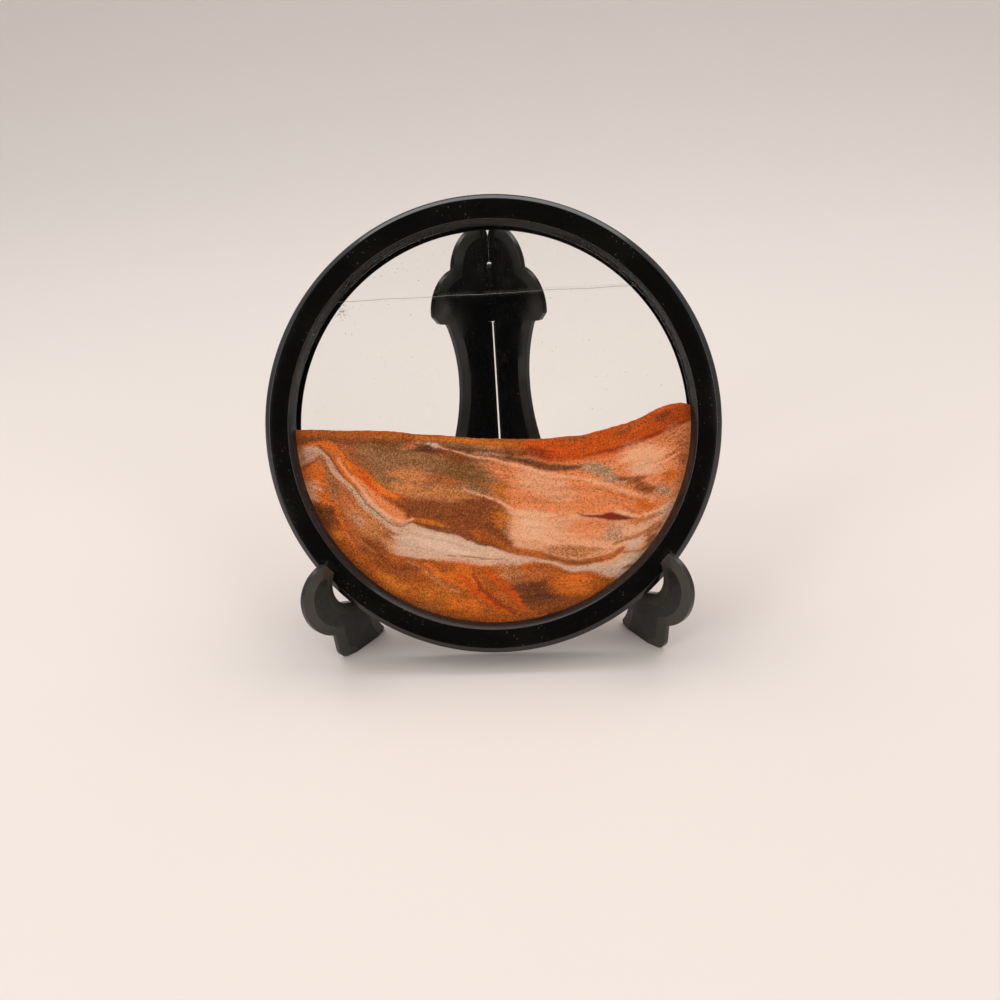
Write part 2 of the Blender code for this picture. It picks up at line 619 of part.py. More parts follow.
def build_ring(parts, cutters, parent):
    """The two plastic rings, the seal, the gasket and the plug in its hole."""
    gloss = new_material("gloss_black_plastic", GLOSS_PLASTIC)
    silicone = new_material("black_silicone", SILICONE)
    rubber = new_material("plug_rubber", RUBBER)
    front = turned("front_ring", front_ring_profile(), parts, parent, RING_STEPS)
    rear = turned("rear_ring", rear_ring_profile(), parts, parent, RING_STEPS)
    seal = turned("spacer_seal", band_profile(CAVITY_RADIUS, SEAL_OUTER, SAND_BACK + REST_GAP,
                                              SAND_FRONT - REST_GAP), parts, parent, RING_STEPS)
    gasket = turned("edge_gasket", band_profile(GASKET_INNER, GASKET_OUTER, REAR_GLASS_BACK,
                                                FRONT_GLASS_FACE), parts, parent, RING_STEPS)
    upwards = (-math.pi / 2, 0.0, 0.0)
    hole = cylinder("plug_hole", PLUG_STEM_RADIUS + REST_GAP, CAVITY_RADIUS - CUT_MARGIN,
                    RING_RADIUS + CUT_MARGIN, cutters, parent, turn=upwards)
    head_floor = RING_RADIUS - PLUG_HEAD_THICKNESS - REST_GAP
    recess = cylinder("plug_recess", PLUG_HEAD_RADIUS + REST_GAP, head_floor,
                      RING_RADIUS + CUT_MARGIN, cutters, parent, turn=upwards)
    for cutter in (hole, recess):
        as_cutter(cutter).location.z = SAND_MIDDLE
    for item in (front, rear, seal, gasket):
        boolean(item, hole, "DIFFERENCE")
    boolean(front, recess, "DIFFERENCE")
    head = RING_RADIUS - PLUG_HEAD_THICKNESS
    plug = turned("fill_plug", [(0.0, RING_RADIUS), (PLUG_HEAD_RADIUS, RING_RADIUS),
                                (PLUG_HEAD_RADIUS, head), (PLUG_STEM_RADIUS, head),
                                (PLUG_STEM_RADIUS, CAVITY_RADIUS), (0.0, CAVITY_RADIUS)],
                  parts, parent, SMALL_STEPS, closed=False)
    plug.rotation_euler = upwards
    plug.location.z = SAND_MIDDLE
    for item, material in ((front, gloss), (rear, gloss), (seal, silicone), (gasket, silicone),
                           (plug, rubber)):
        item.data.materials.append(material)


def build_panes(parts, parent):
    """The two panes of glass."""
    glass = new_material("clear_glass", PANE_GLASS, transmission=1.0, alpha=GLASS_ALPHA)
    for name, back in (("rear_glass", REAR_GLASS_BACK), ("front_glass", SAND_FRONT)):
        pane = cylinder(name, GLASS_RADIUS, back, back + GLASS_THICKNESS, parts, parent, RING_STEPS)
        edge = pane.modifiers.new("ground_edge", "BEVEL")
        edge.width = GLASS_EDGE_BEVEL
        edge.segments = 1
        edge.limit_method = "ANGLE"
        edge.angle_limit = PANE_EDGE_ANGLE
        pane.data.materials.append(glass)


def sand_line(line):
    """Points along the smooth curve of a sand line, run out level past the cell's sides."""
    inner = [Vector((across, height - CAVITY_RADIUS)) for across, height in line]
    side = CAVITY_RADIUS + CUT_MARGIN
    left = Vector((min(-side, inner[0].x - SAND_STEP), inner[0].y))
    right = Vector((max(side, inner[-1].x + SAND_STEP), inner[-1].y))
    knots = [left, *inner, right]
    points = []
    for i in range(len(knots) - 1):
        start, end = knots[i], knots[i + 1]
        before = knots[max(i - 1, 0)]
        after = knots[min(i + 2, len(knots) - 1)]
        slope_in = (end.y - before.y) / (end.x - before.x)
        slope_out = (after.y - start.y) / (after.x - start.x)
        span = end.x - start.x
        steps = max(1, round(span / SAND_STEP))
        for k in range(steps):
            t = k / steps
            rise = ((2 * t ** 3 - 3 * t ** 2 + 1) * start.y + (3 * t ** 2 - 2 * t ** 3) * end.y
                    + (t ** 3 - 2 * t ** 2 + t) * span * slope_in
                    + (t ** 3 - t ** 2) * span * slope_out)
            points.append(Vector((start.x + span * t, rise)))
    return points + [right]


def level_line(height):
    """A level line across the whole cell."""
    side = CAVITY_RADIUS + CUT_MARGIN
    return [Vector((-side, height)), Vector((side, height))]


def cut_level(work):
    """Cut the water level with the world where it meets the front pane at its own height.

    The work lies in the picture's axes, from the middle of the space between the panes.
    """
    edge = (0.0, CAVITY_RADIUS - WATER_DROP, SAND_FRONT - SAND_MIDDLE)
    cut_flat(work, edge, (0.0, math.cos(LEAN), math.sin(LEAN)))


def poured_layer(name, upper, lower, parts, parent, cell, shaping=None):
    """A layer that fills the cell between two lines, with a fine gap to the next.

    The shaping is a function that cuts the layer further before the cell trims it.
    """
    outline = [point - Vector((0.0, REST_GAP / 2)) for point in upper]
    outline += [point + Vector((0.0, REST_GAP / 2)) for point in reversed(lower)]
    curve = bpy.data.curves.new(name, "CURVE")
    curve.dimensions = "2D"
    curve.fill_mode = "BOTH"
    curve.extrude = SAND_SPACE / 2 - REST_GAP
    spline = curve.splines.new("POLY")
    spline.points.add(len(outline) - 1)
    for knot, point in zip(spline.points, outline):
        knot.co = (point.x, point.y, 0.0, 1.0)
    spline.use_cyclic_u = True
    flat = add_object(name + "_outline", curve, parts, parent)
    bpy.context.view_layer.update()
    mesh = bpy.data.meshes.new_from_object(flat.evaluated_get(bpy.context.evaluated_depsgraph_get()))
    bpy.data.objects.remove(flat, do_unlink=True)
    work = bmesh.new()
    work.from_mesh(mesh)
    bmesh.ops.remove_doubles(work, verts=work.verts, dist=MERGE)
    if shaping:
        shaping(work)
    bmesh.ops.recalc_face_normals(work, faces=work.faces)
    work.to_mesh(mesh)
    work.free()
    layer = add_object(name, mesh, parts, parent)
    layer.location.z = SAND_MIDDLE
    boolean(layer, cell, "INTERSECT")
    return layer


def build_contents(parts, cutters, parent):
    """The layers of sand and the water above them, inside the round cell."""
    cell = as_cutter(cylinder("cell_room", CAVITY_RADIUS - REST_GAP, SAND_BACK - CUT_MARGIN,
                              SAND_FRONT + CUT_MARGIN, cutters, parent, RING_STEPS))
    crest = sand_line(SAND_CREST)
    skin = sand_line(SKIN_FOOT)
    dark = sand_line(DARK_FOOT)
    peach = sand_line(PEACH_FOOT)
    pale = sand_line(PALE_FOOT)
    layers = (
        ("amber_base_sand", pale, level_line(-CAVITY_RADIUS - CUT_MARGIN), AMBER_BASE),
        ("pale_band_sand", peach, pale, PALE_BAND),
        ("peach_sand", dark, peach, PEACH),
        ("dark_streak_sand", skin, dark, DARK_STREAK),
        ("amber_skin_sand", crest, skin, AMBER_SKIN),
    )
    for name, upper, lower, finish in layers:
        layer = poured_layer(name, upper, lower, parts, parent, cell)
        layer.data.materials.append(new_material(name, finish))
    water = poured_layer("water", level_line(CAVITY_RADIUS), crest, parts, parent, cell, cut_level)
    water.data.materials.append(
        new_material("clear_water", CLEAR_WATER, transmission=1.0, alpha=WATER_ALPHA))


def settle_on_origin(root, parts):
    """Move everything so that the middle of its box stands over the origin."""
    bpy.context.view_layer.update()
    graph = bpy.context.evaluated_depsgraph_get()
    spots = []
    for item in parts.objects:
        if item.type == "MESH":
            shape = item.evaluated_get(graph)
            spots += [shape.matrix_world @ vert.co for vert in shape.data.vertices]
    root.location.x -= (min(p.x for p in spots) + max(p.x for p in spots)) / 2
    root.location.y -= (min(p.y for p in spots) + max(p.y for p in spots)) / 2
    bpy.context.view_layer.update()


def build():
    """Build the whole object."""
    clear_scene()
    parts = new_collection("moving_sand_art_frame")
    cutters = new_collection("cutters")
    root = add_empty("hinge_axis", parts)
    tilt = (math.pi / 2 - LEAN, 0.0, 0.0)
    centre = (0.0, -PICTURE_FORWARD, RING_CENTRE_HEIGHT)
    picture = add_empty("picture_axis", parts, root, centre, tilt)
    build_stand(parts, cutters, root)
    build_ring(parts, cutters, picture)
    build_panes(parts, picture)
    build_contents(parts, cutters, picture)
    settle_on_origin(root, parts)
    print("hinge axis at", tuple(round(value, 6) for value in root.matrix_world.translation))
    print("picture centre at", tuple(round(value, 6) for value in picture.matrix_world.translation))


build()
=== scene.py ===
"""Moving sand picture in its folding stand: fine meshes, finishes, floor, light and camera.

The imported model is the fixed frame. The two plastic rings, the plug, the sand, the
water and the stand's leaves are replaced by finer meshes in the same places, and the
panes, the seals and the hinge pins keep theirs and get finishes.
"""

import json
import logging
import math
from dataclasses import dataclass, replace
from enum import Enum
from typing import Iterable, Sequence, Union

import bmesh
import bpy
import numpy as np
from mathutils import Matrix, Vector


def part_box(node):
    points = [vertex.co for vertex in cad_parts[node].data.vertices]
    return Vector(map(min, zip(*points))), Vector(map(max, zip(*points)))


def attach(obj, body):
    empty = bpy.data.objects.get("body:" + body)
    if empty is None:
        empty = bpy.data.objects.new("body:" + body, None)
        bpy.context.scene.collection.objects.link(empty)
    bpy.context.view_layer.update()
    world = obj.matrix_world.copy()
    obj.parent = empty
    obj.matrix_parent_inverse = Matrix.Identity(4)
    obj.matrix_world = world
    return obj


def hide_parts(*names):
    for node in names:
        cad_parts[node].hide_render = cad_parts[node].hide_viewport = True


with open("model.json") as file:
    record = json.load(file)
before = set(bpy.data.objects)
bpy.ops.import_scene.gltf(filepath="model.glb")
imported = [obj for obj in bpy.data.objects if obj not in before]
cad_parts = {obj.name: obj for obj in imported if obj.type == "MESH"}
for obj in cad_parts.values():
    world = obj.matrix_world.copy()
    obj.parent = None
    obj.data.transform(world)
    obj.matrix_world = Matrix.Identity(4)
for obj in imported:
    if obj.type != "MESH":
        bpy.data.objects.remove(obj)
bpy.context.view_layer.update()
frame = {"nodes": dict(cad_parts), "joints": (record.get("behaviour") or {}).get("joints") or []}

LOG = logging.getLogger("sand_picture")
MM = 0.001
ORIGIN = (0.0, 0.0, 0.0)
UPRIGHT = (0.0, 0.0, 1.0)
WHITE = (1.0, 1.0, 1.0)
# Points closer than this, in metres, become one
WELD = 1e-6
# Large odd factors that turn a lattice's corners into levels without an order
SCRAMBLERS = (374761393, 668265263, 974711, 1274126177)
WORD = 0xFFFFFFFF
HALF_WORD = 0xFFFF

Number = Union[int, float]
Colour = tuple[float, float, float]
Point = tuple[float, float]
Value = Union["Signal", Number, Sequence[float]]


def linear(red: float, green: float, blue: float) -> Colour:
    """Turn a display colour into the linear one that shaders use, by the sRGB curve.

    Args:
        red: Red from 0 to 255.
        green: Green from 0 to 255.
        blue: Blue from 0 to 255.

    Returns:
        The colour's linear parts from 0 to 1.
    """
    parts = []
    for level in (red, green, blue):
        share = level / 255
        parts.append(share / 12.92 if share <= 0.04045 else ((share + 0.055) / 1.055) ** 2.4)
    return tuple(parts)


def smoothstep(low: float, high: float, value: np.ndarray) -> np.ndarray:
    """Rise smoothly from 0 to 1.

    Args:
        low: Where the rise starts.
        high: Where it ends.
        value: Where it is asked for.

    Returns:
        The share at each value.
    """
    share = np.clip((value - low) / (high - low), 0.0, 1.0)
    return share * share * (3 - 2 * share)


def joint(name: str) -> dict:
    """A joint of the frame, by name."""
    return next(item for item in frame["joints"] if item["name"] == name)


class Signal:
    """A socket in a shader, with arithmetic that adds Math nodes."""

    def __init__(self, graph: "Graph", socket: bpy.types.NodeSocket) -> None:
        """Keep the graph and the socket."""
        self.graph = graph
        self.socket = socket

    def math(self, operation: str, *others: Value, clamp: bool = False) -> "Signal":
        """Put this value first in a Math node.

        Args:
            operation: The Math node's operation.
            others: Its other inputs.
            clamp: Whether the result stays between 0 and 1.

        Returns:
            The result.
        """
        return self.graph.math(operation, self, *others, clamp=clamp)

    def __add__(self, other: Value) -> "Signal":
        """Add."""
        return self.math("ADD", other)

    def __radd__(self, other: Value) -> "Signal":
        """Add to a number."""
        return self.math("ADD", other)

    def __sub__(self, other: Value) -> "Signal":
        """Subtract."""
        return self.math("SUBTRACT", other)

    def __rsub__(self, other: Value) -> "Signal":
        """Subtract from a number."""
        return self.graph.math("SUBTRACT", other, self)

    def __mul__(self, other: Value) -> "Signal":
        """Multiply."""
        return self.math("MULTIPLY", other)

    def __rmul__(self, other: Value) -> "Signal":
        """Multiply a number."""
        return self.math("MULTIPLY", other)

    def __truediv__(self, other: Value) -> "Signal":
        """Divide."""
        return self.math("DIVIDE", other)

    def clamped(self) -> "Signal":
        """Keep between 0 and 1."""
        return self.math("ADD", 0.0, clamp=True)

    def rise(self, low: float, high: float) -> "Signal":
        """Rise smoothly from 0 at low to 1 at high."""
        return self.graph.node("ShaderNodeMapRange", {"interpolation_type": "SMOOTHSTEP"},
                               Value=self, From_Min=low, From_Max=high).out("Result")


class Made:
    """A node that a graph has made."""

    def __init__(self, graph: "Graph", node: bpy.types.Node) -> None:
        """Keep the graph and the node."""
        self.graph = graph
        self.node = node

    def out(self, name: Union[str, int] = 0) -> Signal:
        """One of the node's outputs, by name or place."""
        return Signal(self.graph, self.node.outputs[name])


class Graph:
    """A node tree under construction."""

    def __init__(self, tree: bpy.types.NodeTree) -> None:
        """Empty the tree."""
        self.tree = tree
        tree.nodes.clear()

    def node(self, kind: str, settings: Union[dict, None] = None, places: Union[dict, None] = None,
             **sockets: Value) -> Made:
        """Make a node.

        Args:
            kind: The node's type.
            settings: Its properties, set before its sockets. "stops" fills a colour ramp.
            places: Values or links of its inputs by index.
            sockets: Values or links of its inputs by name, with _ for a space.

        Returns:
            The node.
        """
        item = self.tree.nodes.new(kind)
        for name, value in (settings or {}).items():
            if name == "stops":
                self._fill_ramp(item.color_ramp, value)
            else:
                setattr(item, name, value)
        for key, value in {**(places or {}), **sockets}.items():
            socket = item.inputs[key.replace("_", " ") if isinstance(key, str) else key]
            if isinstance(value, Signal):
                self.tree.links.new(value.socket, socket)
            elif isinstance(value, Sequence) and len(socket.default_value) == 4:
                socket.default_value = (*value[:3], 1.0)
            else:
                socket.default_value = value
        return Made(self, item)

    @staticmethod
    def _fill_ramp(ramp: bpy.types.ColorRamp, stops: Sequence[tuple[float, Colour]]) -> None:
        """Give a ramp its stops.

        Args:
            ramp: The ramp.
            stops: Each stop's place and colour.
        """
        while len(ramp.elements) < len(stops):
            ramp.elements.new(1.0)
        for element, (place, colour) in zip(ramp.elements, stops):
            element.position = place
            element.color = (*colour, 1.0)

    def math(self, operation: str, *values: Value, clamp: bool = False) -> Signal:
        """Add a Math node and give its result."""
        return self.node("ShaderNodeMath", {"operation": operation, "use_clamp": clamp},
                         dict(enumerate(values))).out()

    def vector_math(self, operation: str, *values: Value) -> Made:
        """Add a Vector Math node."""
        return self.node("ShaderNodeVectorMath", {"operation": operation}, dict(enumerate(values)))

    def blend(self, share: Value, first: Value, second: Value, way: str = "MIX") -> Signal:
        """Mix two colours.

        Args:
            share: How much of the second shows.
            first: The colour at 0.
            second: The colour at 1.
            way: The Mix node's blend type.

        Returns:
            The mixed colour.
        """
        settings = {"data_type": "RGBA", "blend_type": way}
        return self.node("ShaderNodeMix", settings, {0: share, 6: first, 7: second}).out(2)

    def coordinates(self) -> Signal:
        """The place on the piece, in metres."""
        return self.node("ShaderNodeTexCoord").out("Object")

    def stretched(self, scale: Sequence[float]) -> Signal:
        """The place on the piece, scaled along each axis."""
        return self.node("ShaderNodeMapping", {"vector_type": "TEXTURE"}, Vector=self.coordinates(),
                         Scale=tuple(1 / part for part in scale)).out()

    def noise(self, size: float, detail: float = 3.0, where: Union[Signal, None] = None,
              roughness: float = 0.5) -> Signal:
        """Smooth noise from 0 to 1.

        Args:
            size: About how wide its features are, in metres.
            detail: How many finer levels it has.
            where: The place to read it at, if not the place on the piece.
            roughness: How strong the finer levels are.

        Returns:
            The noise.
        """
        return self.node("ShaderNodeTexNoise", Vector=where or self.coordinates(),
                         Scale=1 / size, Detail=detail, Roughness=roughness).out("Fac")

    def cells(self, size: float, output: str) -> Signal:
        """One output of a Voronoi pattern whose cells are about as wide as the size."""
        return self.node("ShaderNodeTexVoronoi", Vector=self.coordinates(),
                         Scale=1 / size).out(output)

    def parts(self, vector: Signal) -> tuple[Signal, Signal, Signal]:
        """The three parts of a vector or colour."""
        split = self.node("ShaderNodeSeparateXYZ", places={0: vector})
        return split.out(0), split.out(1), split.out(2)

    def bump(self, height: Signal, depth: float, strength: float = 1.0,
             under: Union[Signal, None] = None) -> Signal:
        """A bumped normal.

        Args:
            height: The relief, from 0 to 1.
            depth: How deep the relief is, in metres.
            strength: How much of it shows.
            under: Another bumped normal that it lies on.

        Returns:
            The normal.
        """
        made = self.node("ShaderNodeBump", Height=height, Distance=depth, Strength=strength)
        if under:
            self.tree.links.new(under.socket, made.node.inputs["Normal"])
        return made.out()

    def principled(self, **sockets: Value) -> Signal:
        """A Principled shader."""
        return self.node("ShaderNodeBsdfPrincipled", **sockets).out()

    def finish(self, surface: Signal) -> None:
        """Link a shader to the output."""
        self.node("ShaderNodeOutputMaterial", Surface=surface)


class Finish:
    """The base of every finish: a named material that is made once."""

    name: str

    def material(self) -> bpy.types.Material:
        """Make the material, or give the one that was made before.

        Returns:
            The material.
        """
        made = bpy.data.materials.get(self.name)
        if made:
            return made
        made = bpy.data.materials.new(self.name)
        made.use_nodes = True
        graph = Graph(made.node_tree)
        graph.finish(self.surface(graph))
        return made

    def surface(self, graph: Graph) -> Signal:
        """Add the shader's nodes and give its output.

        Args:
            graph: The material's node tree.

        Returns:
            The surface's shader.
        """
        raise NotImplementedError

    def dress(self, *items: bpy.types.Object) -> None:
        """Give objects this finish in place of what they have."""
        for item in items:
            item.data.materials.clear()
            item.data.materials.append(self.material())


@dataclass(frozen=True)
class DustyBlack(Finish):
    """Black moulded plastic with white dust, smudges and fine scratches. Sizes are in metres."""

    name: str
    colour: Colour
    worn_colour: Colour
    roughness: float
    smudge: float
    dust: float
    dust_size: float
    streak: Sequence[float]
    relief: float
    grey_dust: Colour = linear(150, 146, 138)
    smudge_size: float = 18 * MM
    grit_size: float = 0.55 * MM
    grit: float = 0.16
    skin_size: float = 0.6 * MM
    dust_height: float = 0.05 * MM
    streak_dullness: float = 0.05
    dust_dullness: float = 0.35

    def surface(self, graph: Graph) -> Signal:
        """Add the shader's nodes and give its output.

        Args:
            graph: The material's node tree.

        Returns:
            The surface's shader.
        """
        smudges = graph.noise(self.smudge_size, 4).rise(0.38, 0.72)
        streaks = graph.noise(1.0, 5, graph.stretched(self.streak)).rise(0.52, 0.74)
        chance, reach, _ = graph.parts(graph.cells(self.dust_size, "Color"))
        near = graph.cells(self.dust_size, "Distance")
        spot = (1 - near.rise(0.03, 0.10)) * chance.rise(1 - self.dust, 1 - self.dust + 0.02)
        lint = spot * reach.rise(0.1, 0.9)
        grit_chance, _, _ = graph.parts(graph.cells(self.grit_size, "Color"))
        grit = grit_chance.rise(0.975, 0.995) * self.grit
        base = graph.blend(smudges * 0.5 + streaks * 0.5, self.colour, self.worn_colour)
        base = graph.blend((lint + grit * smudges).clamped(), base, self.grey_dust)
        rough = self.roughness + self.smudge * smudges + self.streak_dullness * streaks
        rough = rough + self.dust_dullness * lint
        skin = graph.bump(graph.noise(self.skin_size, 3), self.relief, 0.5)
        return graph.principled(Base_Color=base, Roughness=rough.clamped(),
                                Normal=graph.bump(lint, self.dust_height, 0.6, skin))


@dataclass(frozen=True)
class ClearPane(Finish):
    """Clear glass that shows what lies behind it, with faint smears and dust."""

    name: str
    tint: Colour
    gloss: float
    haze: float
    film_colour: Colour = linear(176, 166, 152)
    index: float = 1.46
    smear_size: float = 9 * MM
    speck_size: float = 4.2 * MM
    speck_cover: float = 0.3

    def surface(self, graph: Graph) -> Signal:
        """Add the shader's nodes and give its output.

        Args:
            graph: The material's node tree.

        Returns:
            The surface's shader.
        """
        smears = graph.noise(self.smear_size, 5, roughness=0.62).rise(0.55, 0.8)
        chance, _, _ = graph.parts(graph.cells(self.speck_size, "Color"))
        near = graph.cells(self.speck_size, "Distance")
        specks = (1 - near.rise(0.02, 0.06)) * chance.rise(0.78, 0.8)
        facing = 1 - graph.node("ShaderNodeNewGeometry").out("Backfacing")
        mirror = graph.node("ShaderNodeFresnel", IOR=self.index).out() * facing * self.gloss
        clear = graph.node("ShaderNodeBsdfTransparent", Color=self.tint).out()
        sheen = graph.node("ShaderNodeBsdfGlossy", Color=WHITE, Roughness=0.04 + 0.3 * smears).out()
        film = graph.node("ShaderNodeBsdfDiffuse", Color=self.film_colour).out()
        glass = graph.node("ShaderNodeMixShader", places={0: mirror, 1: clear, 2: sheen}).out()
        veil = smears * self.haze + specks * facing * self.speck_cover
        return graph.node("ShaderNodeMixShader", places={0: veil, 1: glass, 2: film}).out()


@dataclass(frozen=True)
class StillWater(Finish):
    """Clear water: almost nothing but a faint tint, with grey painted on its top as a painted
    reflection.
    """

    name: str
    tint: Colour
    reflection_grey: Colour
    body: float
    skin: float
    ripple_size: float = 7 * MM

    def surface(self, graph: Graph) -> Signal:
        """Add the shader's nodes and give its output.

        Args:
            graph: The material's node tree.

        Returns:
            The surface's shader.
        """
        ripple = graph.noise(self.ripple_size, 2)
        skin = graph.node("ShaderNodeAttribute", {"attribute_name": "skin"}).out("Fac")
        clear = graph.node("ShaderNodeBsdfTransparent", Color=self.tint).out()
        # Painted reflection: clear water has no grey, and this grey stands in for the light that
        # its curved surface throws back and bends.
        edge = graph.principled(Base_Color=self.reflection_grey, Roughness=0.12 + 0.1 * ripple)
        share = (skin * self.skin * (0.8 + 0.4 * ripple) + self.body).clamped()
        return graph.node("ShaderNodeMixShader", places={0: share, 1: clear, 2: edge}).out()


@dataclass(frozen=True)
class GrainedSand(Finish):
    """Fine coloured sand that reads its colour and its share of dark grains from the mesh."""

    name: str
    grain: float
    dark_grain: Colour
    pale_grain: Colour
    clump: float = 2.2
    dark_share: float = 0.62
    dark_depth: float = 0.70
    dark_cover: float = 0.88
    pale_cover: float = 0.35
    relief: float = 0.12 * MM

    def surface(self, graph: Graph) -> Signal:
        """Add the shader's nodes and give its output.

        Args:
            graph: The material's node tree.

        Returns:
            The surface's shader.
        """
        pigment = graph.node("ShaderNodeAttribute", {"attribute_name": "pigment"})
        colour, speckle = pigment.out("Color"), pigment.out("Alpha")
        dark_chance, pale_chance, tone = graph.parts(graph.cells(self.grain, "Color"))
        clump = graph.noise(self.clump * self.grain, 3) - 0.5
        dark = (speckle * self.dark_share - dark_chance + clump * 1.1 * speckle).rise(-0.05, 0.07)
        pale = (speckle * 0.03 + 0.01 - pale_chance).rise(-0.01, 0.02)
        levels = {0: 0.84 + 0.3 * tone, 1: 0.86 + 0.27 * tone, 2: 0.88 + 0.24 * tone}
        shade = graph.node("ShaderNodeCombineColor", places=levels).out()
        shaded = graph.blend(1.0, colour, shade, "MULTIPLY")
        sand = graph.blend(pale * self.pale_cover, shaded, self.pale_grain)
        deep = graph.blend(self.dark_depth, sand, self.dark_grain)
        sand = graph.blend(dark * self.dark_cover, sand, deep)
        height = graph.cells(self.grain, "Distance")
        return graph.principled(Base_Color=sand, Roughness=0.82 + 0.12 * tone,
                                Specular_IOR_Level=0.25,
                                Normal=graph.bump(1 - height, self.relief, 0.35))


@dataclass(frozen=True)
class StuckGrit(Finish):
    """Single grains of sand stuck to the glass."""

    name: str
    colours: tuple[Colour, Colour, Colour]
    patch: float = 0.5 * MM

    def surface(self, graph: Graph) -> Signal:
        """Add the shader's nodes and give its output.

        Args:
            graph: The material's node tree.

        Returns:
            The surface's shader.
        """
        chance, _, _ = graph.parts(graph.cells(self.patch, "Color"))
        stops = list(zip((0.0, 0.5, 1.0), self.colours))
        ramp = graph.node("ShaderNodeValToRGB", {"stops": stops}, Fac=chance)
        return graph.principled(Base_Color=ramp.out("Color"), Roughness=0.6 + 0.3 * chance)


@dataclass(frozen=True)
class MattRubber(Finish):
    """Black rubber or silicone with a dull, slightly uneven skin."""

    name: str
    colour: Colour
    bloom: Colour
    roughness: float
    cloud_size: float = 3 * MM
    skin_size: float = 0.35 * MM
    relief: float = 0.02 * MM

    def surface(self, graph: Graph) -> Signal:
        """Add the shader's nodes and give its output.

        Args:
            graph: The material's node tree.

        Returns:
            The surface's shader.
        """
        cloud = graph.noise(self.cloud_size, 4).rise(0.35, 0.75)
        base = graph.blend(cloud * 0.6, self.colour, self.bloom)
        skin = graph.bump(graph.noise(self.skin_size, 3), self.relief, 0.7)
        return graph.principled(Base_Color=base, Roughness=self.roughness + 0.15 * cloud,
                                Normal=skin)


@dataclass(frozen=True)
class DrawnSteel(Finish):
    """Drawn steel wire with lengthwise lines."""

    name: str
    colour: Colour
    dull: Colour
    drawn: Sequence[float] = (2500.0, 2500.0, 60.0)

    def surface(self, graph: Graph) -> Signal:
        """Add the shader's nodes and give its output.

        Args:
            graph: The material's node tree.

        Returns:
            The surface's shader.
        """
        lines = graph.noise(1.0, 4, graph.stretched(self.drawn))
        base = graph.blend(lines.rise(0.4, 0.7), self.colour, self.dull)
        return graph.principled(Base_Color=base, Metallic=1.0, Roughness=0.28 + 0.2 * lines)


@dataclass(frozen=True)
class StudioPaper(Finish):
    """The pale paper that the object stands on, with painted shade: greyer with distance and to the
    left, for the dimmer light on the wall.
    """

    name: str
    floor: Colour
    wall: Colour
    floor_end: float
    wall_start: float
    leftward_shade: float
    cloud_size: float = 90 * MM
    cloud: float = 0.08
    tooth_size: float = 0.8 * MM
    tooth: float = 0.03 * MM

    def surface(self, graph: Graph) -> Signal:
        """Add the shader's nodes and give its output.

        Args:
            graph: The material's node tree.

        Returns:
            The surface's shader.
        """
        across, away, _ = graph.parts(graph.coordinates())
        cloud = (graph.noise(self.cloud_size, 3) - 0.5) * self.cloud
        # Painted shade: the paper greys from floor_end to wall_start, and more so to the left, in
        # place of the dimmer light on the wall.
        wall_shade = ((away - self.floor_end) / (self.wall_start - self.floor_end)).clamped()
        share = (wall_shade * (1 - self.leftward_shade * across) + cloud).clamped()
        tooth = graph.bump(graph.noise(self.tooth_size, 3), self.tooth, 0.3)
        return graph.principled(Base_Color=graph.blend(share, self.floor, self.wall),
                                Roughness=0.88, Specular_IOR_Level=0.2, Normal=tooth)


@dataclass(frozen=True)
class PictureSpace:
    """The leaning picture's own axes: across, up its face and out of its front."""

    centre: Vector
    normal: Vector

    @classmethod
    def from_frame(cls) -> "PictureSpace":
        """Read the centre and the front's direction from the joint that the ring turns on."""
        turn = joint("picture_turn")
        return cls(Vector(turn["pos_m"]), Vector(turn["axis"]).normalized())

    @property
    def up(self) -> Vector:
        """The direction up the picture's face."""
        return self.normal.cross(Vector((1.0, 0.0, 0.0))).normalized()

    @property
    def matrix(self) -> Matrix:
        """From the picture's axes to the world.

        Returns:
            The matrix.
        """
        across = self.up.cross(self.normal)
        turn = Matrix((across, self.up, self.normal)).transposed()
        return Matrix.Translation(self.centre) @ turn.to_4x4()

    @property
    def level_slope(self) -> float:
        """How much lower on the face a level surface lies, for each step out of the front."""
        return self.normal.z / self.up.z


def new_object(name: str, data: bpy.types.Mesh) -> bpy.types.Object:
    """Put a mesh in the scene as an object at the origin.

    Args:
        name: Its name.
        data: Its mesh.

    Returns:
        The object.
    """
    item = bpy.data.objects.new(name, data)
    bpy.context.scene.collection.objects.link(item)
    return item


def finish_mesh(name: str, work: bmesh.types.BMesh, place: Matrix,
                sharp: float = 35.0) -> bpy.types.Object:
    """Turn a bmesh into a smooth-shaded object in its place.

    Args:
        name: The object's name.
        work: The bmesh, which is freed.
        place: Its place in the world.
        sharp: Edges that turn by more than this many degrees stay sharp.

    Returns:
        The object.
    """
    mesh = bpy.data.meshes.new(name)
    work.transform(place)
    work.to_mesh(mesh)
    work.free()
    mesh.shade_smooth()
    mesh.set_sharp_from_angle(angle=math.radians(sharp))
    return new_object(name, mesh)


def places(mesh: bpy.types.Mesh) -> np.ndarray:
    """Read where a mesh's points lie.

    Args:
        mesh: The mesh.

    Returns:
        One row of three coordinates for each point.
    """
    found = np.zeros(len(mesh.vertices) * 3)
    mesh.vertices.foreach_get("co", found)
    return found.reshape(-1, 3)


def chain(work: bmesh.types.BMesh, points: Sequence[Sequence[float]]) -> list[bmesh.types.BMEdge]:
    """Join points by edges, one after another."""
    verts = [work.verts.new(point) for point in points]
    return [work.edges.new(pair) for pair in zip(verts, verts[1:])]


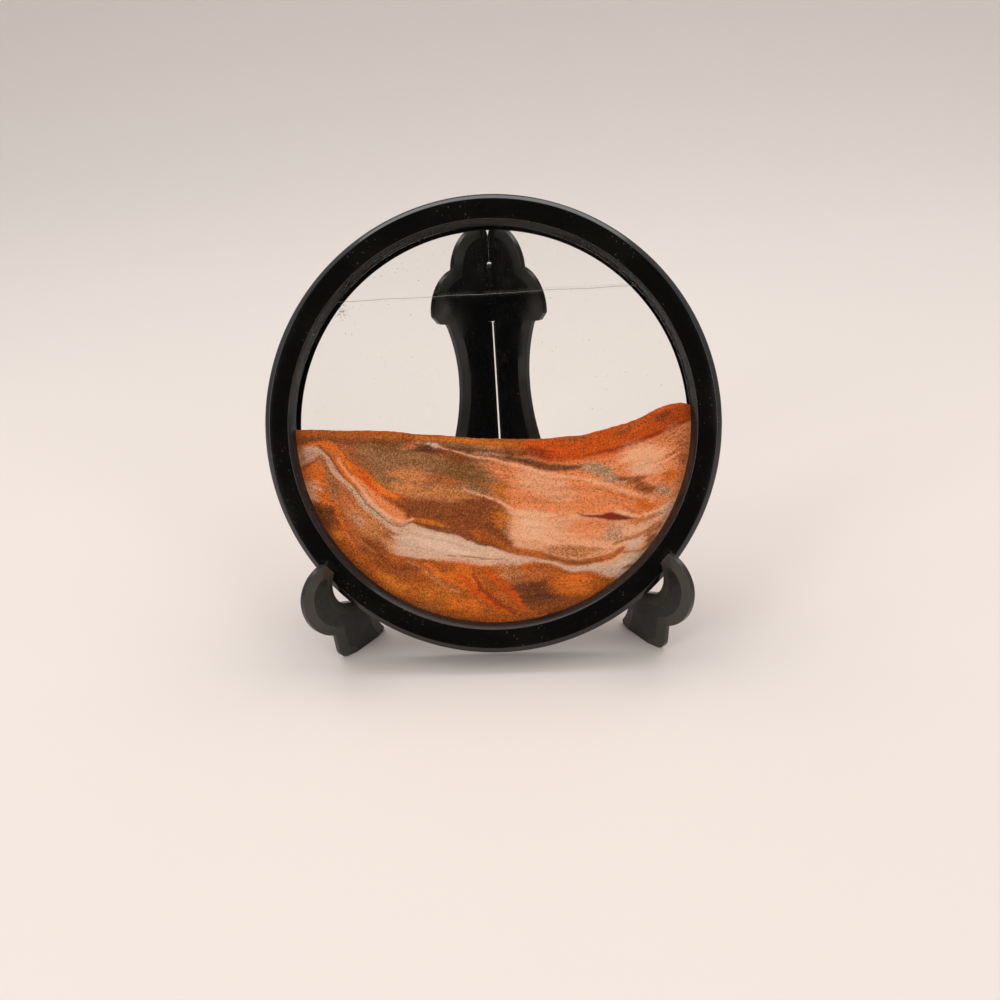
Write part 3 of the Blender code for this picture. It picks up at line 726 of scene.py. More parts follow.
def spin(work: bmesh.types.BMesh, steps: int) -> None:
    """Spin a bmesh's edges a full turn about the Z axis into a closed skin.

    Args:
        work: The bmesh, with edges alone.
        steps: How many steps a full turn has.
    """
    bmesh.ops.spin(work, geom=work.verts[:] + work.edges[:], cent=ORIGIN, axis=UPRIGHT,
                   angle=math.tau, steps=steps, use_merge=True)
    bmesh.ops.remove_doubles(work, verts=work.verts, dist=WELD)
    bmesh.ops.recalc_face_normals(work, faces=work.faces)


def spun(profile: Sequence[Point], rounding: float, steps: int) -> bmesh.types.BMesh:
    """Spin a closed profile with rounded corners about the Z axis.

    Args:
        profile: Points as (radius, height), in metres.
        rounding: How far from each corner its rounding starts.
        steps: How many steps a full turn has.

    Returns:
        The bmesh.
    """
    work = bmesh.new()
    work.faces.new([work.verts.new((radius, 0.0, height)) for radius, height in profile])
    bmesh.ops.bevel(work, geom=work.verts[:], offset=rounding, offset_type="OFFSET",
                    affect="VERTICES", segments=3, profile=0.5, material=-1, clamp_overlap=True)
    bmesh.ops.delete(work, geom=work.faces[:], context="FACES_ONLY")
    spin(work, steps)
    return work


def cylinder(radius: float, low: float, high: float, steps: int, place: Matrix) -> bpy.types.Object:
    """Make a hidden cylinder to cut with.

    Args:
        radius: Its radius.
        low: Where it starts along its own Z axis.
        high: Where it ends.
        steps: How many sides it has.
        place: Its place.

    Returns:
        The object.
    """
    work = bmesh.new()
    bmesh.ops.create_cone(work, cap_ends=True, segments=steps, radius1=radius, radius2=radius,
                          depth=high - low, matrix=Matrix.Translation((0.0, 0.0, (low + high) / 2)))
    return finish_mesh("cutter", work, place)


def cut(item: bpy.types.Object, cutters: Iterable[bpy.types.Object]) -> None:
    """Cut shapes out of an object and keep the result as its mesh.

    Args:
        item: The object.
        cutters: What is cut out of it. They are removed.
    """
    for cutter in cutters:
        modifier = item.modifiers.new("cut", "BOOLEAN")
        modifier.operation = "DIFFERENCE"
        modifier.solver = "EXACT"
        modifier.object = cutter
    bpy.context.view_layer.update()
    shape = item.evaluated_get(bpy.context.evaluated_depsgraph_get())
    mesh = bpy.data.meshes.new_from_object(shape)
    item.modifiers.clear()
    item.data = mesh
    for cutter in cutters:
        bpy.data.objects.remove(cutter, do_unlink=True)


def report(item: bpy.types.Object) -> None:
    """Log how large a piece's mesh is."""
    item.data.calc_loop_triangles()
    LOG.info("%s: %d triangles", item.name, len(item.data.loop_triangles))


@dataclass
class Ring:
    """The two plastic rings, the seals and the plug.

    Sizes are in metres. Radii and heights are measured on the picture's own axes, with
    the ring's middle plane at height 0 and its front at positive heights. A chamfer is
    a width and a drop, the snap bead a height and a length, and plug_edge the rounding of
    the plug's head and of its foot. plug_head, dimple and dimple_slope are a radius and a
    depth.
    """

    space: PictureSpace
    radius: float
    depth: float
    window_radius: float = 0.0782
    window_land: float = 0.0004
    slope_width: float = 0.0022
    shelf: float = 0.0028
    wall: float = 0.0024
    gap: float = 0.0003
    spigot_wall: float = 0.0014
    plate: float = 0.0012
    front_chamfer: Point = (0.0020, 0.0018)
    rear_chamfer: float = 0.0010
    window_chamfer: float = 0.0007
    bead: Point = (0.0005, 0.0020)
    edge_round: float = 0.00032
    steps: int = 288
    plug_head: Point = (0.0025, 0.0010)
    plug_stem: float = 0.0009
    plug_foot: float = 0.0800
    plug_height: float = -0.0015
    plug_steps: int = 48
    plug_edge: Point = (0.0003, 0.0002)
    dimple: Point = (0.000875, 0.0003)
    dimple_slope: Point = (0.0006125, 0.00025)

    @classmethod
    def from_frame(cls, space: PictureSpace) -> "Ring":
        """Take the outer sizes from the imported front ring.

        Args:
            space: The picture's axes.

        Returns:
            The ring.
        """
        low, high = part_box("front_ring")
        heights = [(vert.co - space.centre).dot(space.normal)
                   for vert in frame["nodes"]["front_ring"].data.vertices]
        return cls(space, (high.x - low.x) / 2, max(heights) - min(heights))

    @property
    def front(self) -> float:
        """Height of the ring's face."""
        return self.depth / 2

    @property
    def wall_inner(self) -> float:
        """Inside of the front ring's outer wall."""
        return self.radius - self.wall

    def front_profile(self) -> list[Point]:
        """The front ring's section, from the window's slope outwards.

        Returns:
            Points as (radius, height), in metres.
        """
        width, drop = self.front_chamfer
        height, length = self.bead
        groove = self.plate - self.front + length
        return [
            (self.window_radius + self.slope_width, self.front),
            (self.radius - width, self.front),
            (self.radius, self.front - drop),
            (self.radius, self.rear_chamfer - self.front),
            (self.radius - self.rear_chamfer, -self.front),
            (self.wall_inner, -self.front),
            (self.wall_inner, groove - length / 2),
            (self.wall_inner + height, groove),
            (self.wall_inner, groove + length / 2),
            (self.wall_inner, self.shelf),
            (self.window_radius, self.shelf),
            (self.window_radius, self.shelf + self.window_land),
        ]

    def rear_profile(self) -> list[Point]:
        """The rear ring's section: a plate with a spigot inside the front ring's wall.

        Returns:
            Points as (radius, height), in metres.
        """
        outer = self.wall_inner - self.gap
        inner = outer - self.spigot_wall
        height, length = self.bead
        plate_top = self.plate - self.front
        bead = plate_top + length
        top = self.shelf - self.gap
        return [
            (inner, top), (outer, top), (outer, bead + length / 2), (outer + height, bead),
            (outer, bead - length / 2), (outer, -self.front),
            (self.window_radius + self.window_chamfer, -self.front),
            (self.window_radius, self.window_chamfer - self.front),
            (self.window_radius, plate_top), (inner, plate_top),
        ]

    def plug_place(self) -> Matrix:
        """Where the plug's axis lies: up the picture from its middle."""
        tilt = Matrix.Rotation(-math.pi / 2, 4, "X")
        return self.space.matrix @ Matrix.Translation((0.0, 0.0, self.plug_height)) @ tilt

    def build(self, plastic: Finish, rubber: Finish, silicone: Finish) -> None:
        """Make the two rings and the plug, and dress the seals.

        Args:
            plastic: The rings' finish.
            rubber: The plug's finish.
            silicone: The seal's and the gasket's finish.
        """
        head_radius, head_depth = self.plug_head
        place = self.plug_place()
        far = self.radius + head_depth
        profiles = {"front_ring": self.front_profile(), "rear_ring": self.rear_profile()}
        for name, profile in profiles.items():
            ring = finish_mesh(name + "_moulding", spun(profile, self.edge_round, self.steps),
                               self.space.matrix)
            cutters = [cylinder(self.plug_stem + self.gap, self.plug_foot - head_depth, far,
                                self.plug_steps, place)]
            if name == "front_ring":
                cutters.append(cylinder(head_radius + self.gap, self.radius - head_depth - self.gap,
                                        far, self.plug_steps, place))
            cut(ring, cutters)
            plastic.dress(ring)
            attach(ring, "picture")
            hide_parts(name)
            report(ring)
        self._build_plug(rubber)
        silicone.dress(frame["nodes"]["spacer_seal"], frame["nodes"]["edge_gasket"])

    def _build_plug(self, rubber: Finish) -> None:
        """Make the plug with a rounded head and a small dimple in it.

        Args:
            rubber: The plug's finish.
        """
        head_radius, head_depth = self.plug_head
        neck = self.radius - head_depth
        head_edge, foot_edge = self.plug_edge
        dimple_radius, dimple_depth = self.dimple
        slope_radius, slope_depth = self.dimple_slope
        profile = [
            (0.0, self.radius - dimple_depth),
            (slope_radius, self.radius - slope_depth),
            (dimple_radius, self.radius),
            (head_radius - head_edge, self.radius),
            (head_radius, self.radius - head_edge),
            (head_radius, neck),
            (self.plug_stem, neck),
            (self.plug_stem, self.plug_foot + foot_edge),
            (self.plug_stem - foot_edge, self.plug_foot),
            (0.0, self.plug_foot),
        ]
        work = bmesh.new()
        chain(work, [(radius, 0.0, height) for radius, height in profile])
        spin(work, self.plug_steps)
        plug = finish_mesh("fill_plug_moulding", work, self.plug_place())
        rubber.dress(plug)
        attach(plug, "plug")
        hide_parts("fill_plug")
        report(plug)


class Tone(Enum):
    """The sand's colours, as display levels."""

    AMBER = (212, 104, 26)
    HONEY = (234, 128, 32)
    ORANGE = (244, 120, 32)
    FLAME = (228, 88, 12)
    RUST = (224, 92, 12)
    BRICK = (170, 56, 12)
    OXBLOOD = (142, 28, 4)
    TAN = (230, 142, 80)
    TAUPE = (192, 128, 78)
    OLIVE = (166, 104, 48)
    MOSS = (220, 166, 124)
    BARK = (170, 86, 32)
    SOOT = (116, 62, 28)
    CORAL = (250, 146, 88)
    PEACH = (254, 178, 132)
    CREAM = (252, 186, 146)
    PINK = (230, 182, 150)
    SHELL = (242, 200, 172)
    MAUVE = (222, 166, 134)
    ROSE = (236, 118, 66)
    CLAY = (212, 114, 56)


@dataclass(frozen=True)
class Line:
    """A line across the sand, through chosen points in millimetres from the middle."""

    points: tuple[Point, ...]

    def height(self, across: np.ndarray) -> np.ndarray:
        """How high the line lies at each place across, along a smooth curve.

        Args:
            across: Places across, in millimetres.

        Returns:
            The line's height at each, in millimetres.
        """
        spots = np.array(self.points)
        slopes = np.gradient(spots[:, 1], spots[:, 0])
        place = np.clip(np.searchsorted(spots[:, 0], across) - 1, 0, len(spots) - 2)
        start, end = spots[place], spots[place + 1]
        span = end[:, 0] - start[:, 0]
        share = np.clip((across - start[:, 0]) / span, 0.0, 1.0)
        square, cube = share ** 2, share ** 3
        return ((2 * cube - 3 * square + 1) * start[:, 1] + (3 * square - 2 * cube) * end[:, 1]
                + (cube - 2 * square + share) * span * slopes[place]
                + (cube - square) * span * slopes[place + 1])


@dataclass(frozen=True)
class Pool:
    """A soft-edged patch of one colour. Sizes are in millimetres."""

    tone: Tone
    middle: Point
    reach: Point
    turn: float = 0.0
    grain: float = 0.4
    strength: float = 1.0
    softness: float = 0.5

    def cover(self, across: np.ndarray, up: np.ndarray) -> np.ndarray:
        """How much of each place it covers.

        Args:
            across: Places across, in millimetres.
            up: Places up, in millimetres.

        Returns:
            The share of each place that it covers, from 0 to 1.
        """
        angle = math.radians(self.turn)
        right, rise = across - self.middle[0], up - self.middle[1]
        along = (right * math.cos(angle) + rise * math.sin(angle)) / self.reach[0]
        aside = (rise * math.cos(angle) - right * math.sin(angle)) / self.reach[1]
        away = np.sqrt(along ** 2 + aside ** 2)
        return self.strength * (1 - smoothstep(1 - self.softness, 1 + 0.5 * self.softness, away))


@dataclass(frozen=True)
class Streak:
    """A drawn-out stroke of one colour along chosen points. Sizes are in millimetres."""

    tone: Tone
    path: tuple[Point, ...]
    widths: tuple[float, ...]
    grain: float = 0.4
    strength: float = 1.0
    feather: float = 0.5
    margin: float = 1.0

    def cover(self, across: np.ndarray, up: np.ndarray) -> np.ndarray:
        """How much of each place it covers.

        Args:
            across: Places across, in millimetres.
            up: Places up, in millimetres.

        Returns:
            The share of each place that it covers, from 0 to 1.
        """
        spots = self._smooth_path()
        along, stops = np.linspace(0, 1, len(spots)), np.linspace(0, 1, len(self.widths))
        width = np.interp(along, stops, self.widths)
        reach = max(self.widths) + self.feather + self.margin
        near = ((across > spots[:, 0].min() - reach) & (across < spots[:, 0].max() + reach)
                & (up > spots[:, 1].min() - reach) & (up < spots[:, 1].max() + reach))
        place = np.stack([across[near], up[near]], 1)
        best = np.full(len(place), np.inf)
        for i in range(len(spots) - 1):
            side = spots[i + 1] - spots[i]
            share = np.clip((place - spots[i]) @ side / (side @ side), 0.0, 1.0)
            away = np.hypot(*(place - spots[i] - share[:, None] * side).T)
            best = np.minimum(best, away - (width[i] + (width[i + 1] - width[i]) * share) / 2)
        cover = np.zeros_like(across)
        cover[near] = self.strength * (1 - smoothstep(-self.feather / 2, self.feather / 2, best))
        return cover

    def _smooth_path(self, steps: int = 5) -> np.ndarray:
        """Points along a smooth curve through the chosen ones.

        Args:
            steps: How many points each span gets.

        Returns:
            One point to a row.
        """
        spots = np.array(self.path)
        padded = np.vstack([2 * spots[0] - spots[1], spots, 2 * spots[-1] - spots[-2]])
        found = []
        for a, b, c, d in zip(padded, padded[1:], padded[2:], padded[3:]):
            for share in np.arange(steps) / steps:
                found.append(0.5 * (2 * b + (c - a) * share
                                    + (2 * a - 5 * b + 4 * c - d) * share ** 2
                                    + (3 * b - a - 3 * c + d) * share ** 3))
        return np.vstack([found, spots[-1]])


Mark = Union[Pool, Streak]

CREST = Line(((-82, 1.8), (-78, 1.7), (-70, 1.4), (-62, 0.8), (-50, 0.4), (-40, -0.4), (-30, -1.9),
              (-20, -2.7), (-10, -4.0), (0, -4.8), (10, -5.3), (20, -5.5), (30, -4.9), (36, -4.7),
              (41, -3.5), (50, -1.4), (55, -0.1), (60, 1.8), (65, 4.3), (70, 6.0), (75, 6.6),
              (80, 5.2), (84, 4.6)))
SKIN_FOOT = Line(((-82, -1.8), (-70, -1.6), (-60, -1.9), (-50, -2.4), (-40, -3.0), (-30, -4.6),
                  (-20, -5.4), (-10, -6.4), (0, -7.6), (8, -8.2), (14, -10.4), (19, -13.8),
                  (30, -14.4), (40, -13.2), (50, -11.6), (57, -9.5), (65, -6.4), (72, -2.2),
                  (84, 1.6)))
FLOW_FOOT = Line(((-82, -4.8), (-72, -4.2), (-64, -6.5), (-56, -12.5), (-49, -18.0), (-43, -23.5),
                  (-35, -25.4), (-20, -25.4), (-6, -27.6), (4, -31.4), (16, -34.4), (32, -35.6),
                  (48, -36.8), (62, -35.4), (74, -30.4), (84, -27)))
BAND_TOP = Line(((-82, -13), (-74, -9.0), (-69, -8.2), (-64, -15.0), (-58, -20.8), (-52, -27.2),
                 (-46, -33.2), (-40, -37.4), (-33, -37.0), (-28, -39.4), (-20, -41.9), (-12, -44.4),
                 (-5, -47.0), (5, -50.8), (15, -53.3), (25, -55.4), (35, -56.3), (44, -56.6),
                 (51, -53.4), (60, -50.4), (72, -46)))
BAND_FOOT = Line(((-82, -21), (-70, -26.5), (-60, -33.0), (-54, -40.0), (-48, -45.4), (-42, -49.0),
                  (-35, -51.0), (-25, -52.6), (-15, -54.2), (-5, -55.4), (5, -55.8), (12, -55.1),
                  (20, -55.8), (28, -58.8), (38, -59.2), (47, -61.5), (60, -64)))
FLOOR = Line(((-82, -84), (82, -84)))
LAYER_LINES = (CREST, SKIN_FOOT, FLOW_FOOT, BAND_TOP, BAND_FOOT, FLOOR)

UPPER_MARKS: tuple[Mark, ...] = (
    Pool(Tone.RUST, (40, -8), (26, 7), 6, 0.4, 0.9, 0.6),
    Pool(Tone.CLAY, (-59, -8), (7, 5), 0, 0.85),
    Pool(Tone.TAUPE, (-47, -10), (10, 5.4), -20, 0.95),
    Pool(Tone.TAUPE, (-50, -11.5), (3, 2.5), 0, 0.6, 0.7),
    Pool(Tone.BARK, (-54, -12.5), (6, 4), -30, 0.9, 0.5),
    Pool(Tone.BARK, (-18, -11.6), (11, 3.6), -10, 1.0, 1.0),
    Pool(Tone.BARK, (0, -12.4), (6, 2.6), -15, 1.0, 0.8),
    Pool(Tone.BRICK, (18, -11.6), (7, 2.4), -12, 0.7, 0.85),
    Pool(Tone.BRICK, (71, 1.4), (6, 3), 15, 0.9, 0.5),
    Pool(Tone.OLIVE, (-43, -6.5), (8, 2.4), -8, 0.95, 0.7),
    Pool(Tone.SOOT, (-27, -8.2), (5.5, 1.9), -6, 0.9, 0.9),
    Pool(Tone.ROSE, (-34, -6.2), (3.4, 1.9), 0, 0.5, 0.9),
    Pool(Tone.ROSE, (-62.3, -3.9), (1.9, 1.3), -20, 0.4, 0.8),
    Streak(Tone.BARK, ((-80, -3.0), (-70, -2.6), (-60, -3.4), (-50, -3.8), (-40, -4.4),
                       (-33, -5.0)),
           (2.6, 2.8, 2.0), 0.95, 0.85, 1.4),
    Streak(Tone.HONEY, ((-30, -3.4), (-15, -4.7), (0, -6.4), (9, -7.0)),
           (1.2, 2.0, 1.4), 0.3, 0.7, 1.2),
    Pool(Tone.BARK, (9, -10.4), (6, 2.2), -16, 0.8, 0.9),
    Pool(Tone.FLAME, (26, -11.6), (6.5, 2.6), 0, 0.2, 0.6),
    Pool(Tone.OLIVE, (33, -6.4), (7, 1.1), 4, 0.9, 0.5),
    Streak(Tone.BRICK, ((36, -12.9), (48, -10.7), (55, -8.8), (62, -6.4), (68, -4.2), (76, -0.4)),
           (0.8, 1.6, 2.0, 1.4), 0.35, 0.9, 0.9),
    Pool(Tone.SOOT, (66, 1.2), (3.6, 1.6), 20, 1.0, 0.6),
    Pool(Tone.SOOT, (51, -4.4), (3.6, 1.4), 12, 1.0, 0.5),
    Pool(Tone.OLIVE, (57, -1.4), (7, 1.2), 18, 1.0, 0.4),
    Pool(Tone.OLIVE, (-14, -17.0), (9, 4.2), -15, 1.0, 0.9),
    Pool(Tone.TAUPE, (-24, -13), (9, 3), -8, 0.95, 0.8),
    Pool(Tone.CLAY, (-23, -20.4), (10, 2.4), -8, 0.75),
    Pool(Tone.TAN, (-33, -18), (8, 3.6), -5, 0.5),
    Pool(Tone.TAN, (-34, -24), (9, 3.2), -15, 0.5),
    Pool(Tone.TAN, (-20, -26), (13, 3.4), -6, 0.5, 0.9),
    Pool(Tone.OLIVE, (-6, -21.5), (4.5, 3), -25, 0.9, 0.7),
    Pool(Tone.CORAL, (3, -17.8), (9, 3.8), -20, 0.4, 0.7),
    Pool(Tone.PEACH, (20, -24.5), (15, 5), -22, 0.14, 0.8),
    Streak(Tone.SOOT, ((-19, -8.0), (-10, -9.0), (0, -10.2), (7, -11.4)),
           (1.6, 2.4, 2.2), 1.0, 0.7, 1.4),
    Pool(Tone.MAUVE, (-1, -10.9), (6, 0.9), -9, 0.5, 0.6),
    Streak(Tone.SOOT, ((5, -12.6), (12, -14.5), (20, -16.6), (29, -17.4), (37, -17.2)),
           (1.4, 2.8, 2.6, 1.6), 1.0, 0.85, 1.4),
    Pool(Tone.MOSS, (41, -18.2), (7, 2.9), -6, 0.75),
    Pool(Tone.MOSS, (47.5, -21.8), (5.6, 2.6), -25, 0.7),
    Pool(Tone.PEACH, (60, -14.5), (10, 6.4), -10, 0.06),
    Pool(Tone.CREAM, (60, -18.8), (6, 2.8), -4, 0.05, 0.8),
    Pool(Tone.ROSE, (50, -13.8), (6, 1.1), 12, 0.3, 0.5),
    Pool(Tone.CORAL, (73.5, -9.5), (4.4, 8.4), 8, 0.75, 0.9),
    Pool(Tone.CLAY, (75, -12.5), (2.6, 6.4), 8, 0.9, 0.7),
    Pool(Tone.BARK, (55, -23.2), (5, 1.9), -8, 0.9, 0.9),
    Pool(Tone.BARK, (60.8, -26.3), (4.2, 1.8), -16, 0.9, 0.9),
    Pool(Tone.ORANGE, (70.5, -22.4), (5, 2.2), 4, 0.5, 0.85),
    Pool(Tone.MAUVE, (69, -27.2), (5, 2), -8, 0.75, 0.9),
    Streak(Tone.SHELL, ((-26.5, -6.0), (-23.5, -6.8), (-21, -7.5)), (0.5, 2.4, 0.6), 0.3, 0.8, 0.8),
    Streak(Tone.PEACH, ((-22, -7.4), (-18, -8.5), (-12, -10.3), (-5, -12.0), (0, -13.3), (5, -15.0),
                        (12, -17.1), (20, -19.6), (28, -21.2), (40, -23.0), (48, -25.8),
                        (55, -28.3), (62, -30.4)), (0.5, 0.9, 1.4, 1.7, 1.5, 1.2), 0.12, 0.9, 0.7),
)

MIDDLE_MARKS: tuple[Mark, ...] = (
    Pool(Tone.HONEY, (2.6, -25.2), (5.4, 4.0), -50, 0.65, 0.85, 0.7),
    Streak(Tone.CORAL, ((5, -26.4), (12, -30.5), (17.5, -34.0)), (3.0, 3.6, 1.2), 0.35, 0.85, 1.6),
    Streak(Tone.PEACH, ((-13, -24.0), (-5, -27.2), (0, -29.2), (5, -32.2), (10, -36.2)),
           (0.6, 1.2, 2.4), 0.2, 0.85, 0.9),
    Pool(Tone.HONEY, (2.0, -36.6), (4.0, 4.6), 0, 0.6, 0.8),
    Streak(Tone.BARK, ((-46, -25.4), (-40, -29.0), (-33, -31.6), (-26, -33.0), (-18, -35.0),
                       (-8, -38.2), (0, -42.6)), (1.0, 2.6, 3.0, 3.6), 0.9, 0.75, 1.4),
    Streak(Tone.HONEY, ((-34, -35.4), (-26, -37.4), (-19, -39.8)), (1.6, 2.2, 0.8), 0.5, 0.8, 1.0),
    Pool(Tone.CREAM, (14, -39.4), (7.5, 6.4), -20, 0.05, 0.9, 0.7),
    Pool(Tone.CORAL, (37, -42.6), (11, 4.6), -12, 0.16, 0.75, 0.7),
    Pool(Tone.CORAL, (44, -31), (13, 4.0), -16, 0.28, 0.75, 0.6),
    Pool(Tone.ORANGE, (58.6, -32.8), (4.8, 2.3), -24, 0.3, 0.9, 0.6),
    Streak(Tone.CORAL, ((22, -25.0), (30, -28.0), (38, -32.0)), (0.5, 0.5), 0.2, 0.7, 0.4),
    Streak(Tone.ORANGE, ((25, -27.0), (33, -31.4), (42, -33.9), (50, -35.3), (56.5, -36.6)),
           (0.4, 0.6), 0.3, 0.6, 0.5),
    Streak(Tone.RUST, ((42, -26.0), (47, -28.0), (52, -29.6), (57, -31.6)),
           (0.4, 0.7, 0.4), 0.4, 0.85, 0.5),
    Streak(Tone.RUST, ((50, -32.8), (54, -35.0), (58, -36.6)), (0.5, 0.6), 0.3, 0.85, 0.5),
    Streak(Tone.RUST, ((55, -30.4), (58.5, -32.8), (61.4, -34.4), (60.4, -36.0)),
           (0.5, 0.9, 0.6), 0.4, 0.8, 0.6),
    Streak(Tone.ORANGE, ((21, -37.8), (27, -36.4), (34, -36.2)), (0.4, 1.1, 0.6), 0.2, 0.6, 0.8),
    Pool(Tone.CORAL, (40, -40.6), (10, 2.4), 2, 0.2, 0.85),
    Pool(Tone.CREAM, (51.8, -36.2), (5.2, 1.0), -12, 0.1, 0.9),
    Streak(Tone.OXBLOOD, ((32, -36.0), (36, -37.0), (41, -37.3), (46.5, -37.4), (51, -38.0),
                          (57, -38.0)), (0.3, 0.9, 1.3, 3.3, 2.0, 0.3), 0.35, 0.97, 0.5),
    Pool(Tone.TAN, (63, -38.0), (5, 1.9), 22, 0.75, 0.9),
    Pool(Tone.HONEY, (57.6, -39.0), (5, 1.3), 14, 0.5, 0.8),
    Pool(Tone.PINK, (69, -35.4), (3.8, 1.8), 40, 0.35, 0.9),
    Streak(Tone.CREAM, ((56, -37.4), (62, -36.0), (67, -34.0), (71, -31.6), (76, -29.0)),
           (0.4, 0.8, 0.6), 0.1, 0.9, 0.5),
    Pool(Tone.MOSS, (47, -44.5), (3.8, 4.6), -10, 0.7, 0.7),
    Streak(Tone.CREAM, ((50, -42.8), (56, -41.4), (62, -39.4), (66, -37.6)),
           (1.0, 1.7, 1.0), 0.2, 0.85, 0.8),
    Streak(Tone.CLAY, ((46, -48.4), (53, -46.6), (59, -44.2), (65, -41.0)),
           (0.8, 1.4, 2.6), 0.85, 0.8, 0.9),
    Pool(Tone.SHELL, (53.6, -49.2), (4.6, 1.8), 8, 0.1, 0.95),
    Pool(Tone.BARK, (61, -46.4), (2.8, 2.6), 35, 0.7, 0.8),
    Pool(Tone.TAN, (31, -51), (14, 2.7), -5, 0.85, 0.85),
    Pool(Tone.SOOT, (33, -52.5), (0.7, 0.5), 0, 0.2, 0.9),
    Pool(Tone.BARK, (1, -44.6), (7, 2.3), -33, 0.95, 0.9),
    Streak(Tone.AMBER, ((-8, -41.6), (0, -46.0), (5, -48.8), (10, -50.8), (20, -53.1), (27, -55.0),
                        (33, -55.4), (41, -55.0), (45.5, -53.4), (49, -50.8)),
           (3.4, 3.0, 2.4, 2.2), 0.75, 0.9, 1.1),
    Streak(Tone.BARK, ((8, -49.6), (19, -52.6), (27, -55.2), (34, -55.8), (43, -55.4)),
           (0.6, 1.0, 1.6, 0.8), 0.8, 0.7, 0.8),
    Pool(Tone.ORANGE, (13.4, -51.2), (4.4, 0.9), -14, 0.2, 0.9),
)

LEFT_MARKS: tuple[Mark, ...] = (
    Streak(Tone.ORANGE, ((-74, -4.8), (-69, -4.1), (-65.5, -5.2), (-62, -8.6), (-58, -13.2),
                         (-53, -17.6)), (1.2, 2.6, 2.6, 3.8), 0.35, 0.95, 1.2),
    Pool(Tone.FLAME, (-52, -19.6), (6.4, 3.6), -38, 0.3, 0.95),
    Pool(Tone.HONEY, (-46.5, -20.6), (3.6, 1.5), -45, 0.5, 0.8),
    Streak(Tone.CORAL, ((-57, -18.0), (-51, -24.0), (-45, -30.0), (-38, -34.4)),
           (1.8, 5.4, 4.8), 0.25, 0.9, 1.6),
    Streak(Tone.PEACH, ((-63.5, -9.5), (-59, -16.5), (-54, -22.4), (-48, -29.4), (-43, -34.0),
                        (-38, -36.4), (-33, -35.6)), (0.7, 1.3, 1.7, 1.0), 0.08, 0.95, 0.8),
    Pool(Tone.MAUVE, (-74, -9.0), (5.0, 3.8), 0, 0.35),
    Streak(Tone.PINK, ((-76, -6.6), (-72, -6.0), (-68.5, -7.8), (-66.2, -12.0), (-62.8, -17.6),
                       (-58, -23.0), (-52, -28.6), (-46, -34.6), (-40, -39.4)),
           (2.0, 1.6, 3.0, 3.6), 0.4, 0.92, 1.0),
    Pool(Tone.ORANGE, (-71.4, -16.2), (6.0, 5.4), -20, 0.25, 0.9),
    Pool(Tone.PEACH, (-73.6, -23.0), (3.6, 4.6), 0, 0.15, 0.95),
    Pool(Tone.ORANGE, (-69.0, -26.0), (3.4, 2.8), 0, 0.4, 0.85),
    Streak(Tone.BRICK, ((-79.5, -14.4), (-75, -12.8), (-71.2, -11.0)),
           (0.9, 1.2, 0.4), 0.3, 0.95, 0.5),
    Pool(Tone.SOOT, (-74.6, -8.3), (0.9, 0.6), 0, 0.4, 0.85),
    Pool(Tone.BRICK, (-76.9, -10.4), (1.0, 0.6), 0, 0.4, 0.85),
    Pool(Tone.AMBER, (-77.8, -6.2), (2.4, 1.4), -30, 0.5, 0.8),
    Streak(Tone.TAUPE, ((-69, -10.4), (-67, -16.0), (-65.4, -22.0), (-64.8, -27.4)),
           (1.4, 2.6, 1.8), 0.9, 0.85, 1.2),
    Pool(Tone.CLAY, (-60.5, -24.5), (2.6, 6), 35, 0.7, 0.7),
    Pool(Tone.ROSE, (-59.4, -27.8), (2.8, 1.6), -40, 0.4, 0.8),
    Pool(Tone.TAN, (-54.5, -35), (4.4, 6.4), 38, 0.6, 0.9),
    Pool(Tone.MAUVE, (-53.6, -36.8), (2.4, 3.4), 30, 0.5, 0.6),
    Pool(Tone.BARK, (-67.8, -33.6), (5.8, 5.0), -20, 0.95, 0.95),
    Pool(Tone.SOOT, (-66, -31.4), (3.4, 2.2), 0, 0.9, 0.4),
    Streak(Tone.ORANGE, ((-65.0, -27.0), (-62.2, -34.0), (-60.0, -41.0), (-57, -46)),
           (1.2, 2.2, 1.2), 0.5, 0.85, 1.2),
    Pool(Tone.HONEY, (-63.2, -41.4), (3.4, 2.0), -20, 0.3, 0.9),
    Streak(Tone.SOOT, ((-69.8, -5.2), (-66.6, -9.3), (-62.8, -15.0), (-58.4, -20.2), (-53.1, -26.4),
                       (-48, -31.8), (-44, -35.6), (-40, -38.0), (-36, -38.0), (-33, -36.8),
                       (-29.5, -38.7), (-24, -40.7), (-18, -42.4)),
           (0.9, 0.6, 0.5, 0.5, 0.6), 0.5, 0.8, 0.5),
)

